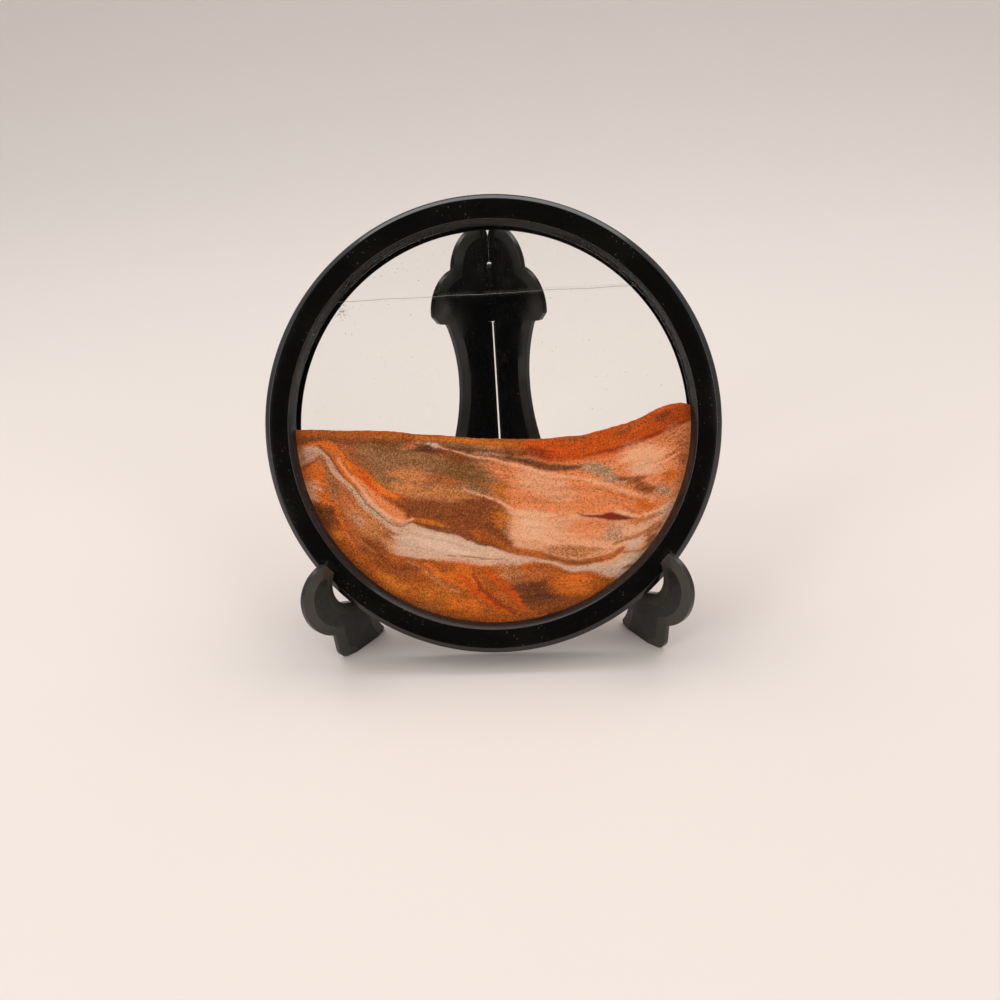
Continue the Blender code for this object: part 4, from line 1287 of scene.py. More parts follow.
LOWER_MARKS: tuple[Mark, ...] = (
    Pool(Tone.SHELL, (-20, -46.8), (21, 4.2), -14, 0.05, 0.8, 0.6),
    Pool(Tone.TAN, (-47, -41.5), (4.4, 6), 40, 0.75, 0.7),
    Pool(Tone.CLAY, (-43, -41.8), (1.8, 3.0), 25, 0.95, 0.7),
    Streak(Tone.BARK, ((-20, -50.8), (-14, -51.4), (-8, -51.9), (-2, -53.0), (4, -53.6)),
           (0.2, 0.6, 0.3), 0.4, 0.8, 0.4),
    Streak(Tone.CORAL, ((-28, -51.9), (-15, -53.8), (-5, -55.0)), (0.8, 1.6, 0.8), 0.4, 0.5, 1.0),
    Pool(Tone.SHELL, (51, -55.6), (5, 2.2), 16, 0.15, 0.9),
    Streak(Tone.CLAY, ((47.6, -51.2), (52, -52.0), (56.5, -51.8), (60, -50.2), (64, -47.0)),
           (0.5, 1.0, 1.6), 0.4, 0.85, 0.6),
    Streak(Tone.BARK, ((49.5, -58.4), (52, -58.0), (55.4, -56.8)), (0.6, 1.2, 0.8), 0.6, 0.85, 0.6),
    Pool(Tone.PINK, (44.5, -60.2), (4.6, 1.7), -15, 0.35, 0.9),
    Pool(Tone.BARK, (-49, -47.6), (5.4, 4.2), -35, 0.9, 0.85),
    Pool(Tone.CLAY, (-56, -42), (3.4, 6), 30, 0.7, 0.8),
    Pool(Tone.BARK, (-41, -55.6), (10, 3.4), -18, 0.9, 0.7),
    Pool(Tone.HONEY, (-43, -61.4), (9, 3.2), -32, 0.5, 0.85),
    Streak(Tone.TAN, ((-36, -52.4), (-28, -58.0), (-22, -63.0), (-15, -66.0)),
           (1.0, 2.4, 1.2), 0.8, 0.75, 1.4),
    Streak(Tone.ORANGE, ((-29, -53.8), (-24, -58.0), (-18.5, -61.6)),
           (1.2, 3.2, 1.8), 0.3, 0.9, 1.2),
    Pool(Tone.ORANGE, (-12.5, -60.4), (8, 4.8), -38, 0.25, 0.9),
    Pool(Tone.HONEY, (-24, -67), (12, 4), -16, 0.6, 0.7),
    Pool(Tone.ORANGE, (-13, -72), (9, 3.4), -4, 0.5, 0.8),
    Streak(Tone.FLAME, ((-14.5, -59.6), (-9.5, -65.6), (-4, -69.6), (2, -73)),
           (1.8, 2.8, 1.6), 0.3, 0.9, 1.0),
    Streak(Tone.BRICK, ((-10.5, -56.2), (-8.5, -62.4), (-4.2, -67.6), (2, -71.6), (7, -75)),
           (0.7, 1.7, 1.9, 1.4), 0.45, 0.85, 0.9),
    Pool(Tone.TAN, (6, -59.4), (7, 3.4), -35, 0.9, 0.9),
    Pool(Tone.SOOT, (15.5, -67.0), (12, 6.2), -8, 1.0, 0.85),
    Pool(Tone.BARK, (22, -72.6), (10, 3.0), 8, 0.95, 0.7),
    Streak(Tone.FLAME, ((-5.4, -56.8), (1, -62.0), (6, -67.4), (10.5, -72.4)),
           (1.8, 3.0, 1.6), 0.3, 0.95, 1.0),
    Pool(Tone.CLAY, (15, -60), (7, 2.7), 4, 0.7, 0.9),
    Pool(Tone.ORANGE, (31, -64), (9, 4.8), 12, 0.4, 0.95),
    Pool(Tone.HONEY, (33, -65.6), (4, 1.8), 12, 0.3, 0.6),
    Pool(Tone.OLIVE, (-30, -71.2), (8, 1.6), -18, 0.8, 0.6),
)


@dataclass(frozen=True)
class PouredPattern:
    """The pattern that the sand has fallen into, painted as layers and then marks.

    Sizes are in millimetres. A drift moves places about by its second size in patches as
    wide as its first. Lanes run along the layers, as long as their first number and as
    many to a layer as their second.
    """

    seed: int = 7
    lattice_start: float = 500.0
    wide_drift: Point = (8.0, 1.0)
    fine_drift: Point = (1.5, 0.35)
    long_lanes: Point = (18.0, 26.0)
    long_pull: float = 6.0
    short_lanes: Point = (8.0, 70.0)
    short_pull: float = 2.4
    streak_share: float = 0.3
    wide_bands: Point = (14.0, 22.0)
    fine_bands: Point = (7.0, 60.0)
    blotch: Point = (1.6, 1.1)
    grain_lanes: Point = (5.0, 40.0)
    grain_blotch: Point = (1.4, 1.0)
    thinnest: float = 0.2
    steepest: float = 1.2

    def noise(self, across: np.ndarray, up: np.ndarray, size: Point, seed: int) -> np.ndarray:
        """Smooth noise from 0 to 1.

        Args:
            across: Places across, in millimetres.
            up: Places up, in millimetres.
            size: How wide and high its features are.
            seed: Which noise it is.

        Returns:
            The noise at each place.
        """
        x, y = across / size[0] + self.lattice_start, up / size[1] + self.lattice_start
        left, low = np.floor(x).astype(np.int64), np.floor(y).astype(np.int64)
        share_x = smoothstep(0.0, 1.0, x - left)
        share_y = smoothstep(0.0, 1.0, y - low)

        def knot(column: np.ndarray, row: np.ndarray) -> np.ndarray:
            """A random level for each corner of the lattice.

            Args:
                column: The corners' columns.
                row: Their rows.

            Returns:
                Their levels from 0 to 1.
            """
            by_column, by_row, by_seed, again = SCRAMBLERS
            mixed = (column * by_column + row * by_row + (seed + self.seed) * by_seed) & WORD
            mixed = ((mixed ^ (mixed >> 13)) * again) & WORD
            return ((mixed ^ (mixed >> 16)) & HALF_WORD) / HALF_WORD

        lower = knot(left, low) * (1 - share_x) + knot(left + 1, low) * share_x
        upper = knot(left, low + 1) * (1 - share_x) + knot(left + 1, low + 1) * share_x
        return lower * (1 - share_y) + upper * share_y

    def flow(self, across: np.ndarray, up: np.ndarray) -> np.ndarray:
        """Which layer each place lies in, with the share of the way down through it.

        Args:
            across: Places across, in millimetres.
            up: Places up, in millimetres.

        Returns:
            How many layers lie above each place, with that share.
        """
        lines = [line.height(across) for line in LAYER_LINES]
        depth = np.zeros_like(across)
        for upper, lower in zip(lines, lines[1:]):
            depth += np.clip((upper - up) / np.maximum(upper - lower, self.thinnest), 0.0, 1.0)
        return depth

    def _lanes(self, across: np.ndarray, depth: np.ndarray, lanes: Point, seed: int) -> np.ndarray:
        """Noise from 0 to 1 that is drawn out along the layers."""
        length, count = lanes
        return self.noise(across, depth * count, (length, 1.0), seed)

    def paint(self, across: np.ndarray, up: np.ndarray) -> np.ndarray:
        """Paint every place.

        Args:
            across: Places across, in millimetres from the middle.
            up: Places up, in millimetres.

        Returns:
            Linear red, green and blue and the share of dark grains for each place.
        """
        wide, fine = self.wide_drift, self.fine_drift
        right = across + (self.noise(across, up, (wide[0],) * 2, 1) - 0.5) * wide[1] * 2
        right += (self.noise(across, up, (fine[0],) * 2, 2) - 0.5) * fine[1] * 2
        rise = up + (self.noise(across, up, (wide[0],) * 2, 3) - 0.5) * wide[1]
        rise += (self.noise(across, up, (fine[0],) * 2, 4) - 0.5) * fine[1]
        depth = self.flow(right, rise)
        picture = self._layers(right, rise)
        slope = self._flow_slope(right, rise)
        pull = (self._lanes(across, depth, self.long_lanes, 7) - 0.5) * self.long_pull
        pull += (self._lanes(across, depth, self.short_lanes, 10) - 0.5) * self.short_pull
        for mark in (*UPPER_MARKS, *MIDDLE_MARKS, *LEFT_MARKS, *LOWER_MARKS):
            drawn = pull * (self.streak_share if isinstance(mark, Streak) else 1.0)
            share = mark.cover(right + drawn, rise + drawn * slope)[:, None]
            picture += share * (np.array([*linear(*mark.tone.value), mark.grain]) - picture)
        bands = self._lanes(across, depth, self.wide_bands, 5)
        bands += 0.6 * self._lanes(across, depth, self.fine_bands, 6)
        blotch = self.noise(across, up, self.blotch, 8)
        picture[:, :3] *= (1 + 0.24 * (bands - 0.8) + 0.12 * (blotch - 0.5))[:, None]
        thick = 0.6 * self._lanes(across, depth, self.grain_lanes, 9)
        thick += 0.4 * self.noise(across, up, self.grain_blotch, 12)
        picture[:, 3] *= 0.6 + 0.8 * thick
        return np.clip(picture, 0.0, 1.0)

    def _flow_slope(self, across: np.ndarray, up: np.ndarray, step: float = 0.5) -> np.ndarray:
        """How steeply the layers rise to the right at each place.

        Args:
            across: Places across, in millimetres.
            up: Places up, in millimetres.
            step: How far to either side it looks.

        Returns:
            The rise for each step to the right.
        """
        sideways = self.flow(across + step, up) - self.flow(across - step, up)
        down = self.flow(across, up - step) - self.flow(across, up + step)
        return np.clip(sideways / np.maximum(down, 0.01), -self.steepest, self.steepest)

    def _layers(self, across: np.ndarray, up: np.ndarray) -> np.ndarray:
        """The ground colour of each layer, before the marks.

        Args:
            across: Places across, in millimetres.
            up: Places up, in millimetres.

        Returns:
            Linear red, green and blue and the share of dark grains for each place.
        """
        def ground(tone: Tone, grain: float) -> np.ndarray:
            """One colour over everything."""
            return np.tile([*linear(*tone.value), grain], (len(across), 1))

        def across_blend(first: np.ndarray, second: np.ndarray,
                         low: float, high: float) -> np.ndarray:
            """Change from one colour to another on the way to the right."""
            return first + smoothstep(low, high, across)[:, None] * (second - first)

        skin = across_blend(ground(Tone.AMBER, 0.62), ground(Tone.RUST, 0.45), 8.0, 18.0)
        flow = across_blend(ground(Tone.TAUPE, 0.95), ground(Tone.CORAL, 0.3), -8.0, 10.0)
        wedge = across_blend(ground(Tone.ORANGE, 0.3), ground(Tone.BARK, 0.85), -42.0, -34.0)
        wedge = across_blend(wedge, ground(Tone.PEACH, 0.14), 1.0, 9.0)
        band = across_blend(ground(Tone.CLAY, 0.5), ground(Tone.TAN, 0.55), -62.0, -54.0)
        band = across_blend(band, ground(Tone.PINK, 0.1), -46.0, -36.0)
        base = ground(Tone.AMBER, 0.7)
        layers = ((flow, SKIN_FOOT, 0.9), (wedge, FLOW_FOOT, 1.2), (band, BAND_TOP, 0.5),
                  (base, BAND_FOOT, 1.2))
        picture = skin
        for layer, line, feather in layers:
            share = smoothstep(-feather / 2, feather / 2, line.height(across) - up)
            picture = picture + share[:, None] * (layer - picture)
        return picture


@dataclass(frozen=True)
class GrainCluster:
    """Grains scattered round one place on the glass. Sizes are in millimetres."""

    count: int
    middle: Point
    spread: Point
    radii: Point


GRAIN_CLUSTERS = (
    GrainCluster(60, (-58.2, 47.6), (1.4, 1.7), (0.10, 0.22)),
    GrainCluster(26, (-24.0, 66.0), (22.0, 4.0), (0.10, 0.20)),
)


@dataclass
class Contents:
    """The sand, the water, the water's line on the glass and the grains stuck to it.

    Sizes are in metres, on the picture's own axes, apart from the lengths and heights of
    ripples and waves and the loose grains' places and radii, which are in millimetres.
    """

    space: PictureSpace
    room_radius: float = 0.0797
    back: float = -0.0032
    front: float = 0.0002
    water_line: float = 0.0525
    water_tilt: float = 0.0105
    columns: int = 290
    rows: int = 155
    side_margin: float = 0.0004
    crest_ripple: Point = (1.1, 0.22)
    water_cells: tuple[int, int] = (120, 40)
    water_clearance: float = 0.0003
    water_thinnest: float = 0.0001
    water_waves: tuple[Point, Point] = ((13.0, 0.45), (3.5, 0.15))
    skin_depth: float = 0.00005
    line_width: float = 0.00018
    line_points: int = 120
    grit_seed: int = 11
    grain_total: int = 170
    loose_across: Point = (-74.0, 74.0)
    loose_up: Point = (2.0, 70.0)
    loose_within: float = 76.0
    loose_above: float = 3.0
    loose_radii: Point = (0.09, 0.19)
    grains_within: float = 78.0

    def build(self, sand: Finish, water: Finish, line: Finish, grit: Finish) -> None:
        """Make every piece of the contents.

        Args:
            sand: The sand's finish.
            water: The water's finish.
            line: The finish of the water's edge, whose grey is a painted reflection.
            grit: The loose grains' finish.
        """
        self._build_sand(sand)
        self._build_water(water)
        self._build_water_line(line)
        self._build_grit(grit)

    def _room_floor(self, across: np.ndarray) -> np.ndarray:
        """How low the round room reaches at each place across, in metres."""
        return -np.sqrt(np.maximum(self.room_radius ** 2 - across ** 2, 0.0))

    def _sheet(self, columns: int, rows: int, floor: np.ndarray,
               top: np.ndarray) -> bmesh.types.BMesh:
        """A flat grid drawn to fit between a floor and a top, given at each column.

        Args:
            columns: How many cells it has across.
            rows: How many cells it has upwards.
            floor: Lowest height at each column's edge.
            top: Highest height there.

        Returns:
            The bmesh, at the room's front.
        """
        work = bmesh.new()
        bmesh.ops.create_grid(work, x_segments=columns, y_segments=rows, size=1.0)
        half = self.room_radius - self.side_margin
        for vert in work.verts:
            column = round((vert.co.x + 1) / 2 * columns)
            share = (vert.co.y + 1) / 2
            height = floor[column] + (top[column] - floor[column]) * share
            vert.co = (vert.co.x * half, height, self.front)
        return work

    def _closed(self, work: bmesh.types.BMesh) -> None:
        """Give a flat sheet the room's depth.

        Args:
            work: The sheet.
        """
        new = bmesh.ops.extrude_face_region(work, geom=work.faces[:], use_keep_orig=True)["geom"]
        moved = [part for part in new if isinstance(part, bmesh.types.BMVert)]
        bmesh.ops.translate(work, verts=moved, vec=(0.0, 0.0, self.back - self.front))
        bmesh.ops.recalc_face_normals(work, faces=work.faces)

    def _edges(self, columns: int) -> np.ndarray:
        """The places across of a sheet's columns."""
        half = self.room_radius - self.side_margin
        return np.linspace(-half, half, columns + 1)

    def _build_sand(self, finish: Finish) -> None:
        """Make the bed of sand and paint its pattern into it.

        Args:
            finish: The sand's finish.
        """
        across = self._edges(self.columns)
        length, height = self.crest_ripple
        ragged = PouredPattern().noise(across / MM, across * 0, (length, 1.0), 21) - 0.5
        top = (CREST.height(across / MM) + height * ragged) * MM
        work = self._sheet(self.columns, self.rows, self._room_floor(across), top)
        self._closed(work)
        bed = finish_mesh("sand_bed", work, Matrix.Identity(4), sharp=60.0)
        mesh = bed.data
        place = places(mesh)
        colours = PouredPattern().paint(place[:, 0] / MM, place[:, 1] / MM)
        layer = mesh.attributes.new("pigment", "FLOAT_COLOR", "POINT")
        layer.data.foreach_set("color", colours.ravel())
        mesh.transform(self.space.matrix)
        finish.dress(bed)
        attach(bed, "contents")
        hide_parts("amber_skin_sand", "dark_streak_sand", "peach_sand", "pale_band_sand",
                    "amber_base_sand")
        report(bed)

    def _water_top(self, across: np.ndarray, height: float) -> np.ndarray:
        """How high the water's surface lies on the glass, a little uneven along it.

        Args:
            across: Places across, in metres.
            height: How far out of the picture's middle plane they are.

        Returns:
            How far up the picture's face the water goes there.
        """
        pattern = PouredPattern()
        level = self.water_line + self.water_tilt * across - self.space.level_slope * height
        for seed, (length, size) in enumerate(self.water_waves, 31):
            wave = pattern.noise(across / MM, across * 0, (length, 1.0), seed) - 0.5
            level = level + size * MM * wave
        return level

    def _build_water(self, finish: Finish) -> None:
        """Make the water between the sand's crest and its own level top.

        Args:
            finish: The water's finish.
        """
        reach = math.sqrt(self.room_radius ** 2 - self.water_line ** 2)
        columns, rows = self.water_cells
        across = self._edges(columns)
        crest = CREST.height(across / MM) * MM
        floor = np.maximum(crest + self.water_clearance, self._room_floor(across))
        rim = -self._room_floor(across)
        lowest = floor + self.water_thinnest
        top = np.where(np.abs(across) < reach, self._water_top(across, self.front), rim)
        top = np.minimum(np.maximum(top, lowest), np.maximum(rim, lowest))
        work = self._sheet(columns, rows, floor, top)
        self._closed(work)
        depth = self.front - self.back
        for vert in work.verts:
            if vert.co.z < (self.front + self.back) / 2 and vert.co.y > 0:
                share = min(1.0, vert.co.y / self.water_line)
                lifted = vert.co.y + share ** 6 * self.space.level_slope * depth
                vert.co.y = min(lifted, math.sqrt(max(self.room_radius ** 2 - vert.co.x ** 2, 0.0)))
        body = finish_mesh("still_water", work, Matrix.Identity(4), sharp=60.0)
        self._mark_skin(body, reach)
        body.data.transform(self.space.matrix)
        finish.dress(body)
        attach(body, "contents")
        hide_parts("water")
        report(body)

    def _mark_skin(self, item: bpy.types.Object, reach: float) -> None:
        """Note on a mesh which points lie on the water's open surface.

        Args:
            item: The water.
            reach: How far to either side its open surface goes.
        """
        mesh = item.data
        place = places(mesh)
        top = self._water_top(place[:, 0], place[:, 2])
        open_top = (np.abs(place[:, 0]) < reach) & (place[:, 1] > top - self.skin_depth)
        layer = mesh.attributes.new("skin", "FLOAT", "POINT")
        layer.data.foreach_set("value", open_top.astype(np.float32))

    def _build_water_line(self, finish: Finish) -> None:
        """Make the raised edge of the water along the front pane, as a thin bead whose grey is a
        painted reflection.

        Args:
            finish: The finish of the water's edge, whose grey is a painted reflection.
        """
        curve = bpy.data.curves.new("water_line", "CURVE")
        curve.dimensions = "3D"
        curve.bevel_depth = self.line_width / 2
        curve.bevel_resolution = 2
        curve.use_fill_caps = True
        height = self.front - self.line_width / 2
        level = self.water_line - self.space.level_slope * height
        reach = math.sqrt(self.room_radius ** 2 - level ** 2) - 2 * self.side_margin
        across = np.linspace(-reach, reach, self.line_points)
        spline = curve.splines.new("POLY")
        spline.points.add(len(across) - 1)
        for knot, x, y in zip(spline.points, across, self._water_top(across, height)):
            knot.co = (*(self.space.matrix @ Vector((x, y, height))), 1.0)
        flat = bpy.data.objects.new("water_line_curve", curve)
        bpy.context.scene.collection.objects.link(flat)
        bpy.context.view_layer.update()
        shape = flat.evaluated_get(bpy.context.evaluated_depsgraph_get())
        work = bmesh.new()
        work.from_mesh(bpy.data.meshes.new_from_object(shape))
        bpy.data.objects.remove(flat, do_unlink=True)
        bmesh.ops.remove_doubles(work, verts=work.verts, dist=WELD)
        bmesh.ops.recalc_face_normals(work, faces=work.faces)
        line = finish_mesh("water_line", work, Matrix.Identity(4), sharp=70.0)
        finish.dress(line)
        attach(line, "contents")
        report(line)

    def _build_grit(self, finish: Finish) -> None:
        """Scatter single grains on the glass above the sand, thickest by the water's left end.

        Args:
            finish: The grains' finish.
        """
        random = np.random.RandomState(self.grit_seed)
        work = bmesh.new()
        spots = []
        for cluster in GRAIN_CLUSTERS:
            for _ in range(cluster.count):
                x = random.normal(cluster.middle[0], cluster.spread[0])
                y = random.normal(cluster.middle[1], cluster.spread[1])
                spots.append((x, y, random.uniform(*cluster.radii)))
        while len(spots) < self.grain_total:
            x, y = random.uniform(*self.loose_across), random.uniform(*self.loose_up)
            crest = float(CREST.height(np.array([x]))[0])
            if math.hypot(x, y) < self.loose_within and y > crest + self.loose_above:
                spots.append((x, y, random.uniform(*self.loose_radii)))
        for x, y, radius in spots:
            if math.hypot(x, y) > self.grains_within:
                continue
            turn = Matrix.Rotation(random.uniform(0, math.tau), 4, "Z")
            shape = Matrix.Diagonal((random.uniform(0.8, 1.6), random.uniform(0.6, 1.1), 0.5, 1.0))
            place = Matrix.Translation((x * MM, y * MM, self.front - radius * 0.5 * MM))
            bmesh.ops.create_icosphere(work, subdivisions=1, radius=radius * MM,
                                       matrix=place @ turn @ shape)
        grains = finish_mesh("stuck_grains", work, self.space.matrix, sharp=40.0)
        finish.dress(grains)
        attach(grains, "contents")
        report(grains)


@dataclass
class Stand:
    """The two hinged leaves and their pins.

    Lengths are in metres. round_from and flat_within are the angles, in degrees, from which
    an edge is rounded and up to which faces count as one. slant holds the least and the
    most of a flat side's direction that a face of the broad bevel keeps.
    """

    edge_round: float = 0.00022
    round_from: float = 32.0
    merge: float = 0.000002
    flat_within: float = 0.6
    spine_near: float = 0.0016
    barrel_near: float = 0.0034
    slant: Point = (0.30, 0.992)
    seam: float = 0.0003
    touching: float = 0.00001

    def build(self, plastic: Finish, bevel: Finish, steel: Finish) -> None:
        """Make the leaves with rounded edges, and dress the pins.

        Args:
            plastic: The leaves' finish.
            bevel: The duller finish of their broad bevels, whose lighter colour is a painted
                highlight.
            steel: The pins' finish.
        """
        for name, body in (("left_leaf", "left_stand"), ("right_leaf", "right_stand")):
            leaf = self._rounded(name)
            plastic.dress(leaf)
            self._dress_bevels(leaf, bevel)
            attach(leaf, body)
            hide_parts(name)
            report(leaf)
        steel.dress(frame["nodes"]["upper_hinge_pin"], frame["nodes"]["lower_hinge_pin"])

    def _dress_bevels(self, leaf: bpy.types.Object, finish: Finish) -> None:
        """Give the faces that slant away from a leaf's flat sides their own finish, whose lighter
        colour paints a highlight on them.

        Args:
            leaf: The leaf.
            finish: The bevels' finish, with its painted highlight.
        """
        leaf.data.materials.append(finish.material())
        flat = max(leaf.data.polygons, key=lambda face: face.area).normal.copy()
        hinge = self._hinge()
        for face in leaf.data.polygons:
            slanted = self.slant[0] < abs(face.normal.dot(flat)) < self.slant[1]
            if slanted and (face.center - hinge).xy.length > self.barrel_near:
                face.material_index = 1

    @staticmethod
    def _hinge() -> Vector:
        """A point on the spine that the leaves fold on."""
        return Vector(joint("right_fold")["pos_m"])

    def _close_crown(self, work: bmesh.types.BMesh) -> None:
        """Let the crowns nearly touch below the short V at their top.

        Args:
            work: A leaf's mesh.
        """
        pins = max(vert.co.z for vert in frame["nodes"]["upper_hinge_pin"].data.vertices)
        for vert in work.verts:
            if vert.co.z > pins and abs(vert.co.x) < self.seam:
                vert.co.x = math.copysign(self.touching, vert.co.x)

    def _rounded(self, name: str) -> bpy.types.Object:
        """A copy of a packed leaf whose moulded edges are rounded.

        Args:
            name: The leaf's node.

        Returns:
            The object.
        """
        work = bmesh.new()
        work.from_mesh(frame["nodes"][name].data)
        bmesh.ops.remove_doubles(work, verts=work.verts, dist=self.merge)
        bmesh.ops.dissolve_limit(work, angle_limit=math.radians(self.flat_within),
                                 verts=work.verts, edges=work.edges)
        self._close_crown(work)
        hinge = self._hinge()
        crisp = [edge for edge in work.edges
                 if edge.is_manifold and edge.calc_face_angle(0.0) > math.radians(self.round_from)
                 and max((vert.co - hinge).xy.length for vert in edge.verts) > self.spine_near]
        bmesh.ops.bevel(work, geom=crisp, offset=self.edge_round, offset_type="OFFSET",
                        affect="EDGES", segments=2, profile=0.5, material=-1, clamp_overlap=True)
        bmesh.ops.triangulate(work, faces=[face for face in work.faces if len(face.verts) > 4])
        return finish_mesh(name + "_moulding", work, Matrix.Identity(4), sharp=12.0)


@dataclass
class Panes:
    """The two panes of glass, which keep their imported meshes."""

    def dress(self, glass: Finish) -> None:
        """Give both panes their finish."""
        glass.dress(frame["nodes"]["front_glass"], frame["nodes"]["rear_glass"])


@dataclass(frozen=True)
class Lamp:
    """A soft rectangular lamp that points at the object. Its power is in watts."""

    name: str
    place: tuple[float, float, float]
    size: Point
    power: float
    aim: tuple[float, float, float] = (0.0, 0.0, 0.08)

    def build(self) -> None:
        """Add the lamp to the scene."""
        lamp = bpy.data.lights.new(self.name, "AREA")
        lamp.shape = "RECTANGLE"
        lamp.size, lamp.size_y = self.size
        lamp.energy = self.power
        item = bpy.data.objects.new(self.name, lamp)
        item.location = self.place
        toward = Vector(self.aim) - Vector(self.place)
        item.rotation_euler = toward.to_track_quat("-Z", "Y").to_euler()
        bpy.context.scene.collection.objects.link(item)


LAMPS = (
    Lamp("overhead_softbox", (0.0, 0.48, 1.25), (1.8, 0.56), 6.5),
    Lamp("left_front_lamp", (-0.80, -0.85, 0.60), (0.4, 0.6), 3.0),
    Lamp("right_front_lamp", (0.74, -0.90, 0.60), (0.4, 0.6), 2.0),
)


@dataclass
class Studio:
    """The pale floor that curves up into a wall, the light and the camera.

    Lengths are in metres, camera_turn is the camera's yaw, pitch and roll in degrees, and
    the lens and the sensor are in millimetres. sky holds the light's strength near the
    horizon and what it gains higher up and overhead.
    """

    near: float = -3.0
    wall_distance: float = 0.86
    curve_radius: float = 0.26
    wall_height: float = 0.3
    half_width: float = 3.0
    curve_steps: int = 24
    camera_place: tuple[float, float, float] = (0.02261, -0.38480, 0.26227)
    camera_turn: tuple[float, float, float] = (-3.20, 28.72, -3.54)
    lens: float = 37.76
    sensor: float = 36.0
    nearest: float = 0.01
    backdrop: Colour = linear(209, 200, 193)
    sky: tuple[float, float, float] = (0.54, 0.20, 0.33)
    side_shift: float = 0.05
    dark_front: tuple[float, float, float] = (0.0, -0.86, 0.51)
    dark_back: tuple[float, float, float] = (0.0, 0.82, 0.57)

    def build(self, paper: Finish) -> None:
        """Make the floor, the light and the camera.

        Args:
            paper: The floor's finish.
        """
        scene = bpy.context.scene
        scene.view_settings.view_transform = "Standard"
        self._build_floor(paper)
        self._build_light()
        self._build_camera(scene)

    def _build_floor(self, paper: Finish) -> None:
        """Sweep the floor's section sideways.

        Args:
            paper: The floor's finish.
        """
        radius = self.curve_radius
        points = [(self.near, 0.0)]
        for step in range(self.curve_steps + 1):
            angle = math.pi / 2 * step / self.curve_steps
            points.append((self.wall_distance - radius + radius * math.sin(angle),
                           radius - radius * math.cos(angle)))
        points.append((self.wall_distance, self.wall_height))
        work = bmesh.new()
        edges = chain(work, [(-self.half_width, away, height) for away, height in points])
        new = bmesh.ops.extrude_edge_only(work, edges=edges)["geom"]
        moved = [part for part in new if isinstance(part, bmesh.types.BMVert)]
        bmesh.ops.translate(work, verts=moved, vec=(2 * self.half_width, 0.0, 0.0))
        floor = finish_mesh("studio_floor", work, Matrix.Identity(4), sharp=40.0)
        paper.dress(floor)

    def _build_light(self) -> None:
        """Light the object from a sky, bright overhead and dark where its flat faces look."""
        world = bpy.data.worlds.new("soft_studio")
        world.use_nodes = True
        bpy.context.scene.world = world
        graph = Graph(world.node_tree)
        direction = graph.node("ShaderNodeTexCoord").out("Generated")
        across, _, height = graph.parts(direction)
        side = graph.math("ABSOLUTE", across + self.side_shift)
        toward = graph.vector_math("DOT_PRODUCT", direction, self.dark_front).out("Value")
        behind = graph.vector_math("DOT_PRODUCT", direction, self.dark_back).out("Value")
        low, middle, top = self.sky
        glow = low + middle * height.rise(0.05, 0.55) + top * height.rise(0.6, 0.92)
        dark = toward.rise(0.62, 0.84) * (1 - side.rise(0.30, 0.42))
        level = glow * (1 - 0.95 * dark) * (1 - 0.85 * behind.rise(0.90, 0.97))
        soft = graph.node("ShaderNodeBackground", Color=WHITE, Strength=level).out()
        backdrop = graph.node("ShaderNodeBackground", Color=self.backdrop, Strength=1.0).out()
        seen = graph.node("ShaderNodeLightPath").out("Is Camera Ray")
        mixed = graph.node("ShaderNodeMixShader", places={0: seen, 1: soft, 2: backdrop}).out()
        graph.node("ShaderNodeOutputWorld", Surface=mixed)
        for lamp in LAMPS:
            lamp.build()

    def _build_camera(self, scene: bpy.types.Scene) -> None:
        """Set the camera at the photograph's place and angle.

        Args:
            scene: The scene that looks through it.
        """
        yaw, pitch, roll = (math.radians(angle) for angle in self.camera_turn)
        level_part = math.cos(pitch)
        ahead = Vector((math.sin(yaw) * level_part, math.cos(yaw) * level_part, -math.sin(pitch)))
        level = Vector((math.cos(yaw), -math.sin(yaw), 0.0))
        upright = level.cross(ahead)
        right = math.cos(roll) * level + math.sin(roll) * upright
        up = math.cos(roll) * upright - math.sin(roll) * level
        lens = bpy.data.cameras.new("photo_camera")
        lens.lens = self.lens
        lens.sensor_width = self.sensor
        lens.clip_start = self.nearest
        camera = bpy.data.objects.new("photo_camera", lens)
        turn = Matrix((right, up, -ahead)).transposed().to_4x4()
        camera.matrix_world = Matrix.Translation(self.camera_place) @ turn
        scene.collection.objects.link(camera)
        scene.camera = camera


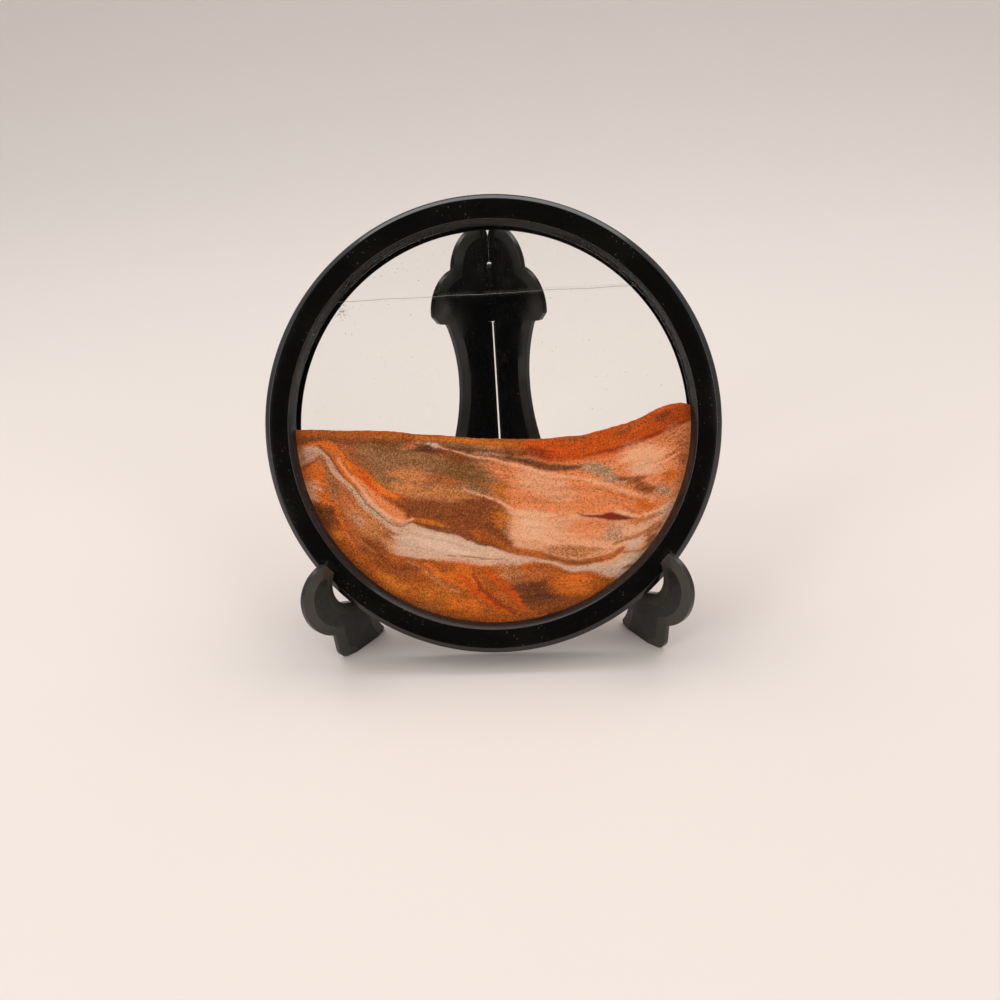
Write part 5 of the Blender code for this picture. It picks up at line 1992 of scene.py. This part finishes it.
RING_BLACK = DustyBlack(
    "gloss_black_plastic", colour=linear(9, 8, 6), worn_colour=linear(20, 18, 13), roughness=0.10,
    smudge=0.06, dust=0.08, dust_size=2.2 * MM, streak=(300.0, 300.0, 2200.0), relief=0.02 * MM)
STAND_BLACK = DustyBlack(
    "satin_black_plastic", colour=linear(24, 22, 19), worn_colour=linear(40, 37, 31),
    roughness=0.24, smudge=0.14, dust=0.07, dust_size=2.4 * MM,
    streak=(1800.0, 1800.0, 160.0), relief=0.03 * MM)
# The bevels' lighter colour is a painted highlight; only their higher roughness belongs to the
# plastic itself.
LIT_BEVEL_BLACK = replace(STAND_BLACK, name="dull_black_painted_highlight", colour=linear(46, 44, 37),
                      worn_colour=linear(62, 58, 48), roughness=0.30)
SILICONE = MattRubber("black_silicone", colour=linear(26, 26, 25), bloom=linear(48, 46, 43),
                      roughness=0.5)
PLUG_RUBBER = MattRubber("plug_rubber_skin", colour=linear(34, 33, 32), bloom=linear(60, 57, 53),
                         roughness=0.6)
PIN_STEEL = DrawnSteel("drawn_steel", colour=linear(176, 174, 170), dull=linear(120, 117, 112))
GLASS = ClearPane("clear_pane", tint=(1.0, 1.0, 0.996), gloss=0.9, haze=0.012)
SAND = GrainedSand("fine_sand", grain=0.30 * MM, dark_grain=linear(38, 20, 12),
                   pale_grain=linear(240, 196, 160))
WATER = StillWater("clear_water", tint=(1.0, 1.0, 0.998), reflection_grey=linear(170, 166, 158),
                   body=0.0, skin=0.04)
# The water's grey top and the grey of its edge are a painted reflection of the light that the
# curved surface throws back and bends.
WATER_EDGE_REFLECTION = StillWater("water_edge_painted_reflection", tint=(0.99, 0.99, 0.98), reflection_grey=linear(170, 163, 154),
                        body=0.6, skin=0.0)
GRIT = StuckGrit("stuck_grit", (linear(48, 36, 28), linear(104, 70, 48), linear(150, 112, 82)))
# The wall colour and the leftward share paint the wall's shade into the paper.
PAPER = StudioPaper("studio_paper", floor=linear(238, 226, 218), wall=linear(220, 211, 205),
                    floor_end=0.06, wall_start=0.85, leftward_shade=0.30)


def main() -> None:
    """Build and dress the whole scene, and write how large it is."""
    logging.basicConfig(level=logging.INFO, format="%(message)s")
    space = PictureSpace.from_frame()
    Ring.from_frame(space).build(RING_BLACK, PLUG_RUBBER, SILICONE)
    Panes().dress(GLASS)
    Contents(space).build(SAND, WATER, WATER_EDGE_REFLECTION, GRIT)
    Stand().build(STAND_BLACK, LIT_BEVEL_BLACK, PIN_STEEL)
    Studio().build(PAPER)


if __name__ == "__main__":
    main()
